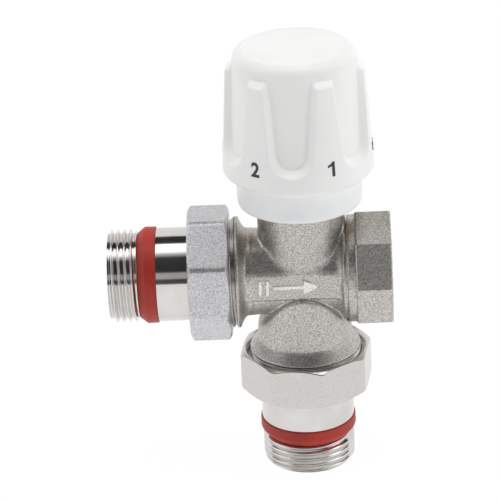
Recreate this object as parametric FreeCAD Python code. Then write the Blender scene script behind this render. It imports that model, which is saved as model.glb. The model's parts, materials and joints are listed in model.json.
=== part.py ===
import FreeCAD, Part

# Three-port thermostatic radiator valve: a forged body with a crossbar, a neck and a lower arm, two
# union connections with loose nuts, one internally threaded port, and a handwheel head that holds a
# thermostatic element. Millimetres. +Z runs up the spindle, the union points along -X and the threaded
# port along +X. The origin is the centre of the lower tailpiece's end face, so the valve stands on Z = 0.
#
# Heights called "level" are counted from the port axis, which lies PORT_HEIGHT above the origin.
# Lengths called "reach" are counted from the point where the port axis and the spindle axis meet.

import os
from math import cos, radians, sin, sqrt, tan

# --- pipe thread G 3/4, the same on both tailpieces and in the female port ---
PIPE_RADIUS = 13.22
PIPE_PITCH = 1.814
PIPE_THREAD_DEPTH = 1.162

# --- union thread M32 x 1.5 between the body's spigots and the loose nuts ---
UNION_PITCH = 1.5
UNION_THREAD_DEPTH = 0.85

# --- forged body ---
BAR_WALL = 2.35
BAR_PAD_WALL = 2.1
BAR_PAD_TOP = 4.1
BAR_PAD_BOTTOM = -3.75
BAR_FACET_INSET = 0.5
BAR_FACET_RISE = 0.65
BAR_FACET_TOP_DEPTH = 8.0
BAR_LEFT = 17.3
NECK_WALL = 2.25
NECK_TOP = 22.2
ARM_RADIUS = 13.45
ARM_DOME_TOP = -0.6
ARM_DOME_BASE = 7.0
ARM_STRAIGHT_END = 19.6
LEFT_FLARE = 2.6
LEFT_RIM = 0.9
LOWER_RIM = 0.5
LEFT_FLANGE_REACH = 18.95
LEFT_SPIGOT_REACH = 27.9
LOWER_FLANGE_REACH = 23.7
LOWER_SPIGOT_REACH = 31.05
SPIGOT_RUNOUT = 0.5

# --- female port ---
PORT_WALL = 2.23
PORT_TURN = 20.5
PORT_NEAR = 15.0
PORT_REACH = 25.3
PORT_RING_STEP = 0.45
PORT_RING_NEAR = 12.6
PORT_RING_BEVEL = 0.4
PORT_GROOVE_DEPTH = 1.2
PORT_GROOVE_NEAR = 11.6
PORT_THREAD_LENGTH = 11.5
PORT_CHAMFER = 0.45
PORT_MOUTH_FLARE = 0.3
PORT_MOUTH_DEPTH = 1.2

# --- waterways and seat ---
WATERWAY_RADIUS = 8.0
CHAMBER_RADIUS = 10.05
ARM_WATERWAY_RADIUS = 9.5
SEAT_FLOOR = -8.5
SEAT_LIP_HEIGHT = 1.0
SEAT_RADIUS = 7.0
SEAT_LIP_WIDTH = 1.1
SEAT_WALL = 2.5
NOSE_WALL = 1.0
NOSE_LENGTH = 4.2
NOSE_CHAMFER = 0.6

# --- raised flow arrow on the front pad ---
ARROW_RELIEF = 0.35
ARROW_LEFT = -12.6
ARROW_RIGHT = 4.6
ARROW_HEAD = 4.6
ARROW_HALF_HEIGHT = 2.5
ARROW_SHAFT = 0.62
ARROW_BAR = 1.1
ARROW_BAR_GAP = 1.0

# --- tailpieces ---
LEFT_TAIL_LENGTH = 27.1
LOWER_TAIL_LENGTH = 28.15
TAIL_STEP = 0.18
TAIL_WALL = 1.7
TAIL_FLANGE_WIDTH = 1.5
TAIL_FLANGE = 2.0
TAIL_THREAD_LENGTH = 7.8
TAIL_THREAD_CHAMFER = 1.05
TAIL_END_BEVEL = 0.57
RING_STAND = 0.35
RING_SINK = 0.358
RING_LIP = 0.4
RING_EDGE = 0.25
RING_FROM_END = 8.5
RING_CONE = 2.0
RING_STRAIGHT = 3.2
TAIL_O_RING_WIRE = 0.9
TAIL_O_RING_SETBACK = 2.1
TAIL_O_RING_FLOOR = 0.35

# --- union nuts ---
NUT_SIDE_WALL = 2.02
NUT_LENGTH = 11.6
NUT_END_WALL = 2.3
NUT_CORNER_STAND = 1.25
NUT_CHAMFER_ANGLE = 30.0
NUT_MOUTH_FLARE = 1.6
NUT_MOUTH_DEPTH = 1.5
NUT_SHOULDER_CHAMFER = 0.6
LEFT_NUT_TURN = 4.0
LOWER_NUT_TURN = 8.6

# --- bonnet: the insert that carries the M30 x 1.5 thread for the head ---
BONNET_BOTTOM = 8.5
BONNET_HEX_FLATS = 25.0
BONNET_HEX_HEIGHT = 2.2
HEAD_THREAD_RADIUS = 15.0
HEAD_THREAD_PITCH = 1.5
HEAD_THREAD_DEPTH = 0.85
HEAD_THREAD_LENGTH = 5.4
SPRING_CHAMBER_RADIUS = 7.0
GLAND_RADIUS = 4.5
GLAND_WALL = 1.8
GLAND_NUT_HEIGHT = 3.2
GLAND_HEX_FLATS = 7.0
GLAND_HEX_HEIGHT = 1.2
BONNET_O_RING_WIRE = 0.85
BONNET_O_RING_LEVEL = 18.5
GLAND_O_RING_WIRE = 0.9

# --- spindle group, drawn with the valve part open ---
SPINDLE_RADIUS = 2.0
SPINDLE_TIP_CHAMFER = 0.4
CLOSING_DIMENSION = 11.8
LIFT_AT_REST = 1.4
SPRING_STOP_LEVEL = 17.8
SPRING_STOP_RADIUS = 5.6
SPRING_STOP_THICKNESS = 1.2
SPRING_STOP_SINK = 0.5
RETAINER_HEIGHT = 2.0
RETURN_SPRING_RADIUS = 4.6
RETURN_SPRING_WIRE = 0.9
RETURN_SPRING_TURNS = 4
DISC_GAP = 1.25
DISC_HEIGHT = 4.0
DISC_CHAMFER = 0.8
DISC_BOSS_RADIUS = 3.6
DISC_BOSS_HEIGHT = 2.6
DISC_RIM = 0.5
WASHER_THICKNESS = 2.2
WASHER_PROUD = 0.5
DISC_SCREW_RADIUS = 4.2
DISC_SCREW_HEAD = 1.6
DISC_STUD_RADIUS = 1.4

# --- head: fixed collar ---
COLLAR_RADIUS = 17.65
COLLAR_BOTTOM = 21.7
COLLAR_TOP = 31.2
COLLAR_ROUND = 1.3
COUPLING_WALL = 1.45
COUPLING_LENGTH = 5.4
TOWER_WALL = 2.9
TOWER_TOP = 46.0
KEY_COUNT = 3
KEY_WIDTH = 3.0
KEY_HEIGHT = 5.0
KEY_STAND = 1.1
KEY_SLOT_SPARE = 1.5
SNAP_LEVEL = 37.0
SNAP_HEIGHT = 1.6
SNAP_DEPTH = 0.6
STOP_ARC = 28.0
STOP_HEIGHT = 3.2
STOP_MARGIN = 2.0
STOP_TURN_DOWN = 90.0
WHEEL_LUG_ANGLE = 100.0

# --- head: handwheel ---
GRIP_BOTTOM = 30.1
GRIP_TUCK = 2.9
GRIP_WIDEST = 32.6
GRIP_SHOULDER = 62.7
GRIP_TAPER = 2.0
CAP_WALL = 2.54
CAP_SHOULDER = 63.5
CAP_TOP = 67.8
CAP_ROUND = 2.7
FLOOR_WALL = 2.85
RIB_COUNT = 6
RIB_DEPTH = 2.8
RIB_TURN = -5.0
RECESS_BOTTOM = 38.5
RECESS_WIDTH = 9.2
RECESS_TAPER = 0.086
RECESS_FLARE = 0.41
WHEEL_WALL = 1.9
WHEEL_SKIRT_STEP = 1.25
WHEEL_SKIRT_TOP = 35.6
CARRIAGE_BORE_BOTTOM = 47.8

# --- head: thermostatic element and its carriage ---
CARRIAGE_RIM = 1.95
CARRIAGE_SIDE_WALL = 2.1
CARRIAGE_BOTTOM = 40.2
CARRIAGE_RIM_BOTTOM = 50.0
CARRIAGE_TOP = 62.4
CARRIAGE_WALL = 1.6
CAPSULE_RADIUS = 10.4
CAPSULE_BOTTOM = 43.4
CAPSULE_TOP = 57.0
CAPSULE_FLANGE = 1.2
CAPSULE_FLANGE_STEP = 0.6
CAPSULE_POCKET = 7.0
CAPSULE_NECK_RADIUS = 5.2
CAPSULE_NECK_LENGTH = 2.0
CLIP_HEIGHT = 1.4
PISTON_RADIUS = 3.0
PISTON_END_GAP = 0.5
PISTON_BUTTON_RADIUS = 4.6
PISTON_BUTTON_HEIGHT = 1.6
OVERTRAVEL_SPRING_RADIUS = 8.2
OVERTRAVEL_SPRING_WIRE = 1.0
OVERTRAVEL_SPRING_TURNS = 1

# --- clearances ---
RUNNING = 0.05
THREAD_CLEARANCE = 0.08
SEAT_CLEARANCE = 0.02
LOOSE = 0.15

# --- sizes that follow from the ones above ---
PORT_HEIGHT = LOWER_SPIGOT_REACH + LOWER_TAIL_LENGTH
BAR_RADIUS = CHAMBER_RADIUS + BAR_WALL
BAR_PAD_HALF_DEPTH = CHAMBER_RADIUS + BAR_PAD_WALL
NECK_RADIUS = CHAMBER_RADIUS + NECK_WALL
DISC_RADIUS = CHAMBER_RADIUS - DISC_GAP
WASHER_RADIUS = DISC_RADIUS - DISC_RIM

TAIL_RADIUS = PIPE_RADIUS + TAIL_STEP
RING_RADIUS = TAIL_RADIUS + RING_STAND
RING_ROOT_RADIUS = PIPE_RADIUS - PIPE_THREAD_DEPTH - RING_SINK
TAIL_BORE = RING_ROOT_RADIUS - TAIL_WALL
NOSE_RADIUS = TAIL_BORE + NOSE_WALL
TAIL_FLANGE_RADIUS = TAIL_RADIUS + TAIL_FLANGE_WIDTH
UNION_RADIUS = TAIL_FLANGE_RADIUS + LOOSE + UNION_THREAD_DEPTH
NUT_FLATS = 2 * (UNION_RADIUS + THREAD_CLEARANCE + NUT_SIDE_WALL)
NUT_CORNER_RADIUS = NUT_FLATS / 2 + NUT_CORNER_STAND
PORT_FLATS = 2 * (PIPE_RADIUS + PORT_MOUTH_FLARE + PORT_WALL)
PORT_RING_RADIUS = PORT_FLATS / 2 - PORT_RING_STEP
PORT_GROOVE_RADIUS = PORT_RING_RADIUS - PORT_GROOVE_DEPTH

TOWER_BORE = CAPSULE_RADIUS + LOOSE + CARRIAGE_SIDE_WALL + RUNNING
TOWER_RADIUS = TOWER_BORE + TOWER_WALL
WHEEL_BORE = TOWER_RADIUS + LOOSE
WHEEL_SKIRT_BORE = WHEEL_BORE + WHEEL_SKIRT_STEP
CARRIAGE_RADIUS = TOWER_BORE + CARRIAGE_RIM
CARRIAGE_BORE = CARRIAGE_RADIUS + LOOSE
CAP_RADIUS = CARRIAGE_BORE + CAP_WALL
FLOOR_RADIUS_LOW = WHEEL_BORE + FLOOR_WALL
GRIP_RADIUS = FLOOR_RADIUS_LOW + RIB_DEPTH
GRIP_SHOULDER_RADIUS = GRIP_RADIUS - GRIP_TAPER

OCTAGON = 8

X = FreeCAD.Vector(1, 0, 0)
Y = FreeCAD.Vector(0, 1, 0)
Z = FreeCAD.Vector(0, 0, 1)
CENTRE = FreeCAD.Vector(0, 0, 0)


def vector(x, y, z):
    return FreeCAD.Vector(x, y, z)


# --- shapes that the pieces share ---


def lathe(outline):
    """Solid turned about Z from a closed outline of (radius, level) points."""
    points = [vector(r, 0, z) for r, z in outline]
    return Part.Face(Part.makePolygon(points + points[:1])).revolve(CENTRE, Z, 360)


def tube(outer, inner, low, high):
    """Plain ring about Z."""
    return lathe([(inner, low), (outer, low), (outer, high), (inner, high)])


def rod(radius, low, high):
    """Plain cylinder about Z."""
    return Part.makeCylinder(radius, high - low, vector(0, 0, low))


def prism(flats, corners, low, high, turn=0.0):
    """Regular bar about Z, given its width across flats; turn is the angle of one flat from +X."""
    radius = flats / 2 / cos(radians(180 / corners))
    angles = [radians(turn + 180 / corners + 360 * k / corners) for k in range(corners)]
    points = [vector(radius * cos(a), radius * sin(a), low) for a in angles]
    return Part.Face(Part.makePolygon(points + points[:1])).extrude(vector(0, 0, high - low))


def thread_outline(crest, root, pitch, start, end):
    """Rings of a thread seen in section, from start to end, as (radius, level) points.

    Each pitch is a crest an eighth wide, a straight flank, a root an eighth wide and a flank back.
    """
    way = 1 if end > start else -1
    count = int((abs(end - start) - pitch / 8) / pitch)
    flat = pitch / 8
    slope = pitch / 2 - flat
    points = [(crest, start)]
    for k in range(count):
        level = start + way * k * pitch
        for radius, along in (
            (crest, flat),
            (root, flat + slope),
            (root, 2 * flat + slope),
            (crest, pitch),
        ):
            points.append((radius, level + way * along))
    points.append((crest, start + way * (count * pitch + flat)))
    return points


def torus(radius, wire, level):
    """O-ring about Z."""
    return Part.makeTorus(radius, wire, vector(0, 0, level), Z)


def coil(radius, wire, low, high, turns):
    """Helical spring about Z whose wire stays between the levels low and high."""
    rise = high - low - 2 * wire
    path = Part.makeLongHelix(rise / turns, rise, radius)
    path.translate(vector(0, 0, low + wire))
    start = vector(radius, 0, low + wire)
    section = Part.Wire(Part.makeCircle(wire, start, Y))
    return Part.Wire(path.Edges).makePipeShell([section], True, True)


def to_left(shape):
    """Turn a shape built along +Z so that it runs along -X."""
    return shape.rotated(CENTRE, Y, -90)


def to_right(shape):
    """Turn a shape built along +Z so that it runs along +X."""
    return shape.rotated(CENTRE, Y, 90)


def to_lower(shape):
    """Turn a shape built along +Z so that it runs along -Z."""
    return shape.rotated(CENTRE, X, 180)


def around(shape, count, first=0.0):
    """Copies of a shape spaced evenly about Z."""
    return [shape.rotated(CENTRE, Z, first + 360 * k / count) for k in range(count)]


# --- forged body ---


def bar_section():
    """Crossbar outline in the Y-Z plane: a round bar with a flat pad and a slanting facet each side."""
    low_z = BAR_PAD_BOTTOM
    low_y = sqrt(BAR_RADIUS**2 - low_z**2)
    right = [
        (low_y, low_z),
        (BAR_PAD_HALF_DEPTH, low_z),
        (BAR_PAD_HALF_DEPTH, BAR_PAD_TOP),
        (BAR_PAD_HALF_DEPTH - BAR_FACET_INSET, BAR_PAD_TOP + BAR_FACET_RISE),
        (BAR_FACET_TOP_DEPTH, sqrt(BAR_RADIUS**2 - BAR_FACET_TOP_DEPTH**2)),
    ]
    ahead = [vector(0, -y, z) for y, z in right]
    behind = [vector(0, y, z) for y, z in reversed(right)]
    top = Part.Arc(ahead[-1], vector(0, 0, BAR_RADIUS), behind[0]).toShape()
    bottom = Part.Arc(behind[-1], vector(0, 0, -BAR_RADIUS), ahead[0]).toShape()
    sides = [Part.makeLine(a, b) for line in (ahead, behind) for a, b in zip(line, line[1:])]
    return Part.Wire(Part.__sortEdges__(sides + [top, bottom]))


def flange_outline(stem, reach, flare, rim):
    """Outer outline of a spigot's root: a hollow curve from the stem's radius up to a narrow rim."""
    steps = 6
    points = []
    for k in range(steps + 1):
        part = radians(90 * k / steps)
        radius = stem + (UNION_RADIUS - stem) * (1 - cos(part))
        points.append((radius, reach - rim - flare + flare * sin(part)))
    return points + [(UNION_RADIUS, reach)]


def spigot(stem_outline, stem, flange_reach, flare, rim, spigot_reach):
    """Outer form of a union spigot along +Z: the stem's outline, the flared flange and the thread."""
    outline = stem_outline + flange_outline(stem, flange_reach, flare, rim)
    outline += thread_outline(
        UNION_RADIUS,
        UNION_RADIUS - UNION_THREAD_DEPTH,
        UNION_PITCH,
        flange_reach + SPIGOT_RUNOUT / 2,
        spigot_reach - SPIGOT_RUNOUT,
    )
    outline += [(UNION_RADIUS - UNION_THREAD_DEPTH, spigot_reach), (0, spigot_reach)]
    return lathe(outline)


def left_arm():
    """Union spigot at the crossbar's left end; its root starts inside the bar."""
    root = BAR_RADIUS - 0.3
    start = LEFT_FLANGE_REACH - LEFT_RIM - LEFT_FLARE - 2
    stem = [(0, start), (root - 1, start)]
    return to_left(spigot(stem, root, LEFT_FLANGE_REACH, LEFT_FLARE, LEFT_RIM, LEFT_SPIGOT_REACH))


def lower_arm():
    """Lower arm: an elliptical dome that dies into the crossbar, a straight stem and the union spigot."""
    steps = 8
    stem = [(0, ARM_DOME_TOP)]
    for k in range(1, steps + 1):
        part = radians(90 * k / steps)
        depth = ARM_DOME_BASE - (ARM_DOME_BASE - ARM_DOME_TOP) * cos(part)
        stem.append((ARM_RADIUS * sin(part), depth))
    flare = LOWER_FLANGE_REACH - LOWER_RIM - ARM_STRAIGHT_END
    outside = spigot(stem, ARM_RADIUS, LOWER_FLANGE_REACH, flare, LOWER_RIM, LOWER_SPIGOT_REACH)
    return to_lower(outside)


def port_outside():
    """Outer form of the female port along +Z: groove, ring and chamfered octagon."""
    cone = PORT_CHAMFER + PORT_FLATS / 2 / cos(radians(180 / OCTAGON))
    octagon = prism(PORT_FLATS, OCTAGON, PORT_NEAR, PORT_REACH, PORT_TURN)
    limit = lathe(
        [
            (0, PORT_NEAR),
            (cone - 2 * PORT_CHAMFER, PORT_NEAR),
            (cone, PORT_NEAR + 2 * PORT_CHAMFER),
            (cone, PORT_REACH - 2 * PORT_CHAMFER),
            (cone - 2 * PORT_CHAMFER, PORT_REACH),
            (0, PORT_REACH),
        ]
    )
    ring = lathe(
        [
            (0, 0),
            (BAR_RADIUS - 1, 0),
            (BAR_RADIUS - 1, PORT_GROOVE_NEAR - 2),
            (PORT_GROOVE_RADIUS, PORT_GROOVE_NEAR),
            (PORT_GROOVE_RADIUS, PORT_RING_NEAR - PORT_RING_BEVEL / 2),
            (PORT_RING_RADIUS, PORT_RING_NEAR + PORT_RING_BEVEL),
            (PORT_RING_RADIUS, PORT_NEAR + 1),
            (0, PORT_NEAR + 1),
        ]
    )
    return octagon.common(limit).fuse(ring)


def port_bore():
    """Hollow of the female port along +Z: thread, then a cone down to the waterway."""
    inner = PORT_REACH - PORT_THREAD_LENGTH
    crest = PIPE_RADIUS - PIPE_THREAD_DEPTH
    mouth = PIPE_RADIUS + PORT_MOUTH_FLARE
    outline = [(0, PORT_REACH + 1), (mouth + 1, PORT_REACH + 1), (mouth, PORT_REACH)]
    outline += thread_outline(crest, PIPE_RADIUS, PIPE_PITCH, PORT_REACH - PORT_MOUTH_DEPTH, inner)
    outline += [
        (crest, inner),
        (WATERWAY_RADIUS, inner - (crest - WATERWAY_RADIUS) / 2),
        (WATERWAY_RADIUS, 0),
        (0, 0),
    ]
    return lathe(outline)


def nose_bore(reach):
    """Counterbore in a spigot's mouth for the tailpiece's nose, with the waterway behind it."""
    return rod(NOSE_RADIUS + RUNNING, reach - NOSE_LENGTH - LOOSE, reach + 1)


def arrow():
    """Raised flow arrow on the front pad, with two short bars behind it."""
    start = ARROW_LEFT + 2 * (ARROW_BAR + ARROW_BAR_GAP)
    neck = ARROW_RIGHT - ARROW_HEAD
    middle = (BAR_PAD_TOP + BAR_PAD_BOTTOM) / 2
    pieces = []
    outline = [
        (start, -ARROW_SHAFT),
        (neck, -ARROW_SHAFT),
        (neck, -ARROW_HALF_HEIGHT),
        (ARROW_RIGHT, 0),
        (neck, ARROW_HALF_HEIGHT),
        (neck, ARROW_SHAFT),
        (start, ARROW_SHAFT),
    ]
    outlines = [outline]
    for k in range(2):
        left = ARROW_LEFT + k * (ARROW_BAR + ARROW_BAR_GAP)
        right = left + ARROW_BAR
        height = ARROW_HALF_HEIGHT
        outlines.append([(left, -height), (right, -height), (right, height), (left, height)])
    for points in outlines:
        face_y = -BAR_PAD_HALF_DEPTH
        wire = [vector(x, face_y + ARROW_RELIEF, middle + z) for x, z in points]
        face = Part.Face(Part.makePolygon(wire + wire[:1]))
        pieces.append(face.extrude(vector(0, -2 * ARROW_RELIEF, 0)))
    return pieces


def valve_body():
    """Forging: crossbar, neck, lower arm, two spigots and the female port, with the waterways cut out."""
    bar = Part.Face(bar_section()).extrude(vector(BAR_LEFT + PORT_GROOVE_NEAR + 0.5, 0, 0))
    bar.translate(vector(-BAR_LEFT, 0, 0))
    neck = rod(NECK_RADIUS, BAR_PAD_TOP - 0.3, NECK_TOP)
    solid = bar.fuse([neck, left_arm(), lower_arm(), to_right(port_outside())] + arrow())
    chamber = rod(CHAMBER_RADIUS, SEAT_FLOOR, NECK_TOP + 1)
    seat_bore = rod(SEAT_RADIUS, SEAT_FLOOR - SEAT_WALL - 1, SEAT_FLOOR + SEAT_LIP_HEIGHT)
    arm_bore = rod(ARM_WATERWAY_RADIUS, -LOWER_SPIGOT_REACH - 1, SEAT_FLOOR - SEAT_WALL)
    crossing = to_left(rod(WATERWAY_RADIUS, 0, LEFT_SPIGOT_REACH + 1))
    solid = solid.cut(
        [
            chamber,
            arm_bore,
            crossing,
            to_right(port_bore()),
            to_left(nose_bore(LEFT_SPIGOT_REACH)),
            to_lower(nose_bore(LOWER_SPIGOT_REACH)),
        ]
    )
    lip = tube(
        SEAT_RADIUS + SEAT_LIP_WIDTH,
        SEAT_RADIUS,
        SEAT_FLOOR - SEAT_WALL / 2,
        SEAT_FLOOR + SEAT_LIP_HEIGHT,
    )
    return solid.fuse(lip).cut(seat_bore).removeSplitter()


# --- unions ---


def tailpiece(shoulder, length):
    """Tailpiece along +Z: nose in the spigot, flange for the nut, plain body, ring groove and pipe thread."""
    end = shoulder + length
    nose_low = shoulder - NOSE_LENGTH
    ring_end = end - RING_FROM_END
    ring_start = ring_end - RING_CONE - RING_STRAIGHT
    groove = shoulder - TAIL_O_RING_SETBACK
    half = TAIL_O_RING_WIRE + RUNNING
    thread_low = end - TAIL_THREAD_LENGTH
    root = PIPE_RADIUS - PIPE_THREAD_DEPTH
    outline = [
        (TAIL_BORE, nose_low),
        (NOSE_RADIUS - NOSE_CHAMFER, nose_low),
        (NOSE_RADIUS - RUNNING, nose_low + NOSE_CHAMFER),
        (NOSE_RADIUS - RUNNING, groove - half),
        (TAIL_BORE + TAIL_O_RING_FLOOR, groove - half),
        (TAIL_BORE + TAIL_O_RING_FLOOR, groove + half),
        (NOSE_RADIUS - RUNNING, groove + half),
        (NOSE_RADIUS - RUNNING, shoulder),
        (TAIL_FLANGE_RADIUS, shoulder),
        (TAIL_FLANGE_RADIUS, shoulder + TAIL_FLANGE),
        (TAIL_RADIUS, shoulder + TAIL_FLANGE),
        (TAIL_RADIUS, ring_start),
        (RING_ROOT_RADIUS, ring_start),
        (RING_ROOT_RADIUS, ring_end),
        (RING_ROOT_RADIUS, thread_low - 0.2),
        (root, thread_low),
    ]
    first = end - TAIL_THREAD_CHAMFER
    thread = thread_outline(PIPE_RADIUS, root, PIPE_PITCH, first, thread_low)
    outline += list(reversed(thread))
    outline += [(PIPE_RADIUS - TAIL_END_BEVEL, end), (TAIL_BORE, end)]
    return lathe(outline)


def sealing_ring(shoulder, length):
    """Silicone ring along +Z: straight beside the tailpiece's body, then a cone towards the thread."""
    ring_end = shoulder + length - RING_FROM_END
    ring_start = ring_end - RING_CONE - RING_STRAIGHT
    inner = RING_ROOT_RADIUS + RUNNING
    return lathe(
        [
            (inner, ring_start),
            (RING_RADIUS - RING_EDGE, ring_start),
            (RING_RADIUS, ring_start + RING_EDGE),
            (RING_RADIUS, ring_end - RING_CONE),
            (RING_ROOT_RADIUS + RING_LIP, ring_end),
            (inner, ring_end),
        ]
    )


def tail_o_ring(shoulder):
    """O-ring in the groove of the tailpiece's nose."""
    outer = NOSE_RADIUS - RUNNING
    inner = TAIL_BORE + TAIL_O_RING_FLOOR
    wire = min(TAIL_O_RING_WIRE, (outer - inner) / 2 - RUNNING / 2)
    return torus((outer + inner) / 2, wire, shoulder - TAIL_O_RING_SETBACK)


def union_nut(shoulder, turn):
    """Octagonal union nut along +Z: mouth over the spigot, shoulder behind the tailpiece's flange."""
    seat = shoulder + TAIL_FLANGE
    far = seat + NUT_END_WALL
    near = far - NUT_LENGTH
    slope = tan(radians(NUT_CHAMFER_ANGLE))
    rise = (NUT_CORNER_RADIUS - NUT_FLATS / 2) * slope
    limit = lathe(
        [
            (0, near),
            (NUT_FLATS / 2, near),
            (NUT_CORNER_RADIUS, near + rise),
            (NUT_CORNER_RADIUS, far - rise),
            (NUT_FLATS / 2, far),
            (0, far),
        ]
    )
    hollow = lathe(
        [
            (0, near - 1),
            (UNION_RADIUS + NUT_MOUTH_FLARE, near - 1),
            (UNION_RADIUS + NUT_MOUTH_FLARE, near),
            (UNION_RADIUS + THREAD_CLEARANCE, near + NUT_MOUTH_DEPTH),
            (UNION_RADIUS + THREAD_CLEARANCE, seat + SEAT_CLEARANCE),
            (TAIL_RADIUS + LOOSE, seat + SEAT_CLEARANCE),
            (TAIL_RADIUS + LOOSE, far - NUT_SHOULDER_CHAMFER),
            (TAIL_RADIUS + LOOSE + NUT_SHOULDER_CHAMFER, far),
            (TAIL_RADIUS + LOOSE + NUT_SHOULDER_CHAMFER, far + 1),
            (0, far + 1),
        ]
    )
    return prism(NUT_FLATS, OCTAGON, near, far, turn).common(limit).cut(hollow)


# --- bonnet and gland ---

BONNET_SEAT = NECK_TOP + BONNET_HEX_HEIGHT
BONNET_TOP = BONNET_SEAT + HEAD_THREAD_LENGTH
GLAND_O_RING_STEP = 2 * GLAND_O_RING_WIRE + RUNNING
GLAND_BOTTOM = BONNET_TOP - GLAND_NUT_HEIGHT - 2 * GLAND_O_RING_STEP - RUNNING
SPRING_CHAMBER_TOP = GLAND_BOTTOM - GLAND_WALL
PIN_TOP = BONNET_SEAT + CLOSING_DIMENSION + LIFT_AT_REST


def bonnet():
    """Brass insert in the neck: spring chamber below, hexagon, and the M30 x 1.5 thread for the head."""
    outer = CHAMBER_RADIUS - RUNNING
    groove = BONNET_O_RING_LEVEL
    half = BONNET_O_RING_WIRE + RUNNING
    groove_root = outer - 2 * half
    outline = [
        (SPRING_CHAMBER_RADIUS, BONNET_BOTTOM),
        (outer, BONNET_BOTTOM),
        (outer, groove - half),
        (groove_root, groove - half),
        (groove_root, groove + half),
        (outer, groove + half),
        (outer, BONNET_SEAT),
    ]
    outline += thread_outline(
        HEAD_THREAD_RADIUS,
        HEAD_THREAD_RADIUS - HEAD_THREAD_DEPTH,
        HEAD_THREAD_PITCH,
        BONNET_SEAT,
        BONNET_TOP,
    )
    outline += [
        (HEAD_THREAD_RADIUS - HEAD_THREAD_DEPTH, BONNET_TOP),
        (GLAND_RADIUS, BONNET_TOP),
        (GLAND_RADIUS, GLAND_BOTTOM),
        (SPINDLE_RADIUS + RUNNING, GLAND_BOTTOM),
        (SPINDLE_RADIUS + RUNNING, SPRING_CHAMBER_TOP),
        (SPRING_CHAMBER_RADIUS, SPRING_CHAMBER_TOP),
    ]
    hexagon = prism(BONNET_HEX_FLATS, 6, NECK_TOP, BONNET_SEAT)
    hexagon = hexagon.cut(rod(outer - 1, NECK_TOP - 1, BONNET_SEAT + 1))
    return lathe(outline).fuse(hexagon).removeSplitter()


def bonnet_o_ring():
    outer = CHAMBER_RADIUS - RUNNING
    return torus(outer - BONNET_O_RING_WIRE - RUNNING, BONNET_O_RING_WIRE, BONNET_O_RING_LEVEL)


def gland_nut():
    """Screwed plug that keeps the spindle's O-rings in the bonnet; its hexagon stands above the bonnet."""
    bore = SPINDLE_RADIUS + RUNNING
    body = tube(GLAND_RADIUS - RUNNING, bore, BONNET_TOP - GLAND_NUT_HEIGHT, BONNET_TOP)
    head = prism(GLAND_HEX_FLATS, 6, BONNET_TOP, BONNET_TOP + GLAND_HEX_HEIGHT)
    hole = rod(bore, BONNET_TOP - 1, BONNET_TOP + GLAND_HEX_HEIGHT + 1)
    return body.fuse(head.cut(hole)).removeSplitter()


def gland_o_rings():
    """Two O-rings on the spindle, one above the other under the gland nut."""
    centre = SPINDLE_RADIUS + RUNNING + GLAND_O_RING_WIRE
    first = GLAND_BOTTOM + GLAND_O_RING_WIRE + RUNNING
    wire = GLAND_O_RING_WIRE - RUNNING / 2
    return Part.makeCompound([torus(centre, wire, first + k * GLAND_O_RING_STEP) for k in range(2)])


def spring_retainer():
    """Guide bush in the bottom of the spring chamber; the return spring stands on it."""
    return tube(
        SPRING_CHAMBER_RADIUS - RUNNING,
        SPINDLE_RADIUS + RUNNING,
        BONNET_BOTTOM,
        BONNET_BOTTOM + RETAINER_HEIGHT,
    )


def return_spring():
    """Spring that lifts the spindle, between the guide bush and the stop ring on the spindle."""
    return coil(
        RETURN_SPRING_RADIUS,
        RETURN_SPRING_WIRE / 2,
        BONNET_BOTTOM + RETAINER_HEIGHT + RUNNING,
        SPRING_STOP_LEVEL - RUNNING,
        RETURN_SPRING_TURNS,
    )


# --- spindle group ---

WASHER_BOTTOM = SEAT_FLOOR + SEAT_LIP_HEIGHT + SEAT_CLEARANCE + LIFT_AT_REST
DISC_BOTTOM = WASHER_BOTTOM + WASHER_PROUD
DISC_TOP = WASHER_BOTTOM + DISC_HEIGHT
STUD_TOP = DISC_TOP + DISC_BOSS_HEIGHT


def spindle():
    """Stainless spindle from the disc to the pin that the head presses, with a groove for the stop ring."""
    groove = SPINDLE_RADIUS - SPRING_STOP_SINK
    return lathe(
        [
            (0, STUD_TOP),
            (SPINDLE_RADIUS, STUD_TOP),
            (SPINDLE_RADIUS, SPRING_STOP_LEVEL),
            (groove, SPRING_STOP_LEVEL),
            (groove, SPRING_STOP_LEVEL + SPRING_STOP_THICKNESS),
            (SPINDLE_RADIUS, SPRING_STOP_LEVEL + SPRING_STOP_THICKNESS),
            (SPINDLE_RADIUS, PIN_TOP - SPINDLE_TIP_CHAMFER),
            (SPINDLE_RADIUS - SPINDLE_TIP_CHAMFER, PIN_TOP),
            (0, PIN_TOP),
        ]
    )


def spring_stop():
    """Ring sprung into the spindle's groove; the return spring pushes it up."""
    return tube(
        SPRING_STOP_RADIUS,
        SPINDLE_RADIUS - SPRING_STOP_SINK,
        SPRING_STOP_LEVEL,
        SPRING_STOP_LEVEL + SPRING_STOP_THICKNESS,
    )


def valve_disc():
    """Brass disc: a cup that holds the seat washer, and a boss on the spindle."""
    washer_top = WASHER_BOTTOM + WASHER_THICKNESS
    return lathe(
        [
            (DISC_STUD_RADIUS, washer_top),
            (WASHER_RADIUS, washer_top),
            (WASHER_RADIUS, DISC_BOTTOM),
            (DISC_RADIUS, DISC_BOTTOM),
            (DISC_RADIUS, DISC_TOP - DISC_CHAMFER),
            (DISC_RADIUS - DISC_CHAMFER, DISC_TOP),
            (DISC_BOSS_RADIUS, DISC_TOP),
            (DISC_BOSS_RADIUS, STUD_TOP),
            (DISC_STUD_RADIUS, STUD_TOP),
        ]
    )


def seat_washer():
    """Rubber washer that closes on the seat."""
    return tube(WASHER_RADIUS, DISC_STUD_RADIUS, WASHER_BOTTOM, WASHER_BOTTOM + WASHER_THICKNESS)


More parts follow.
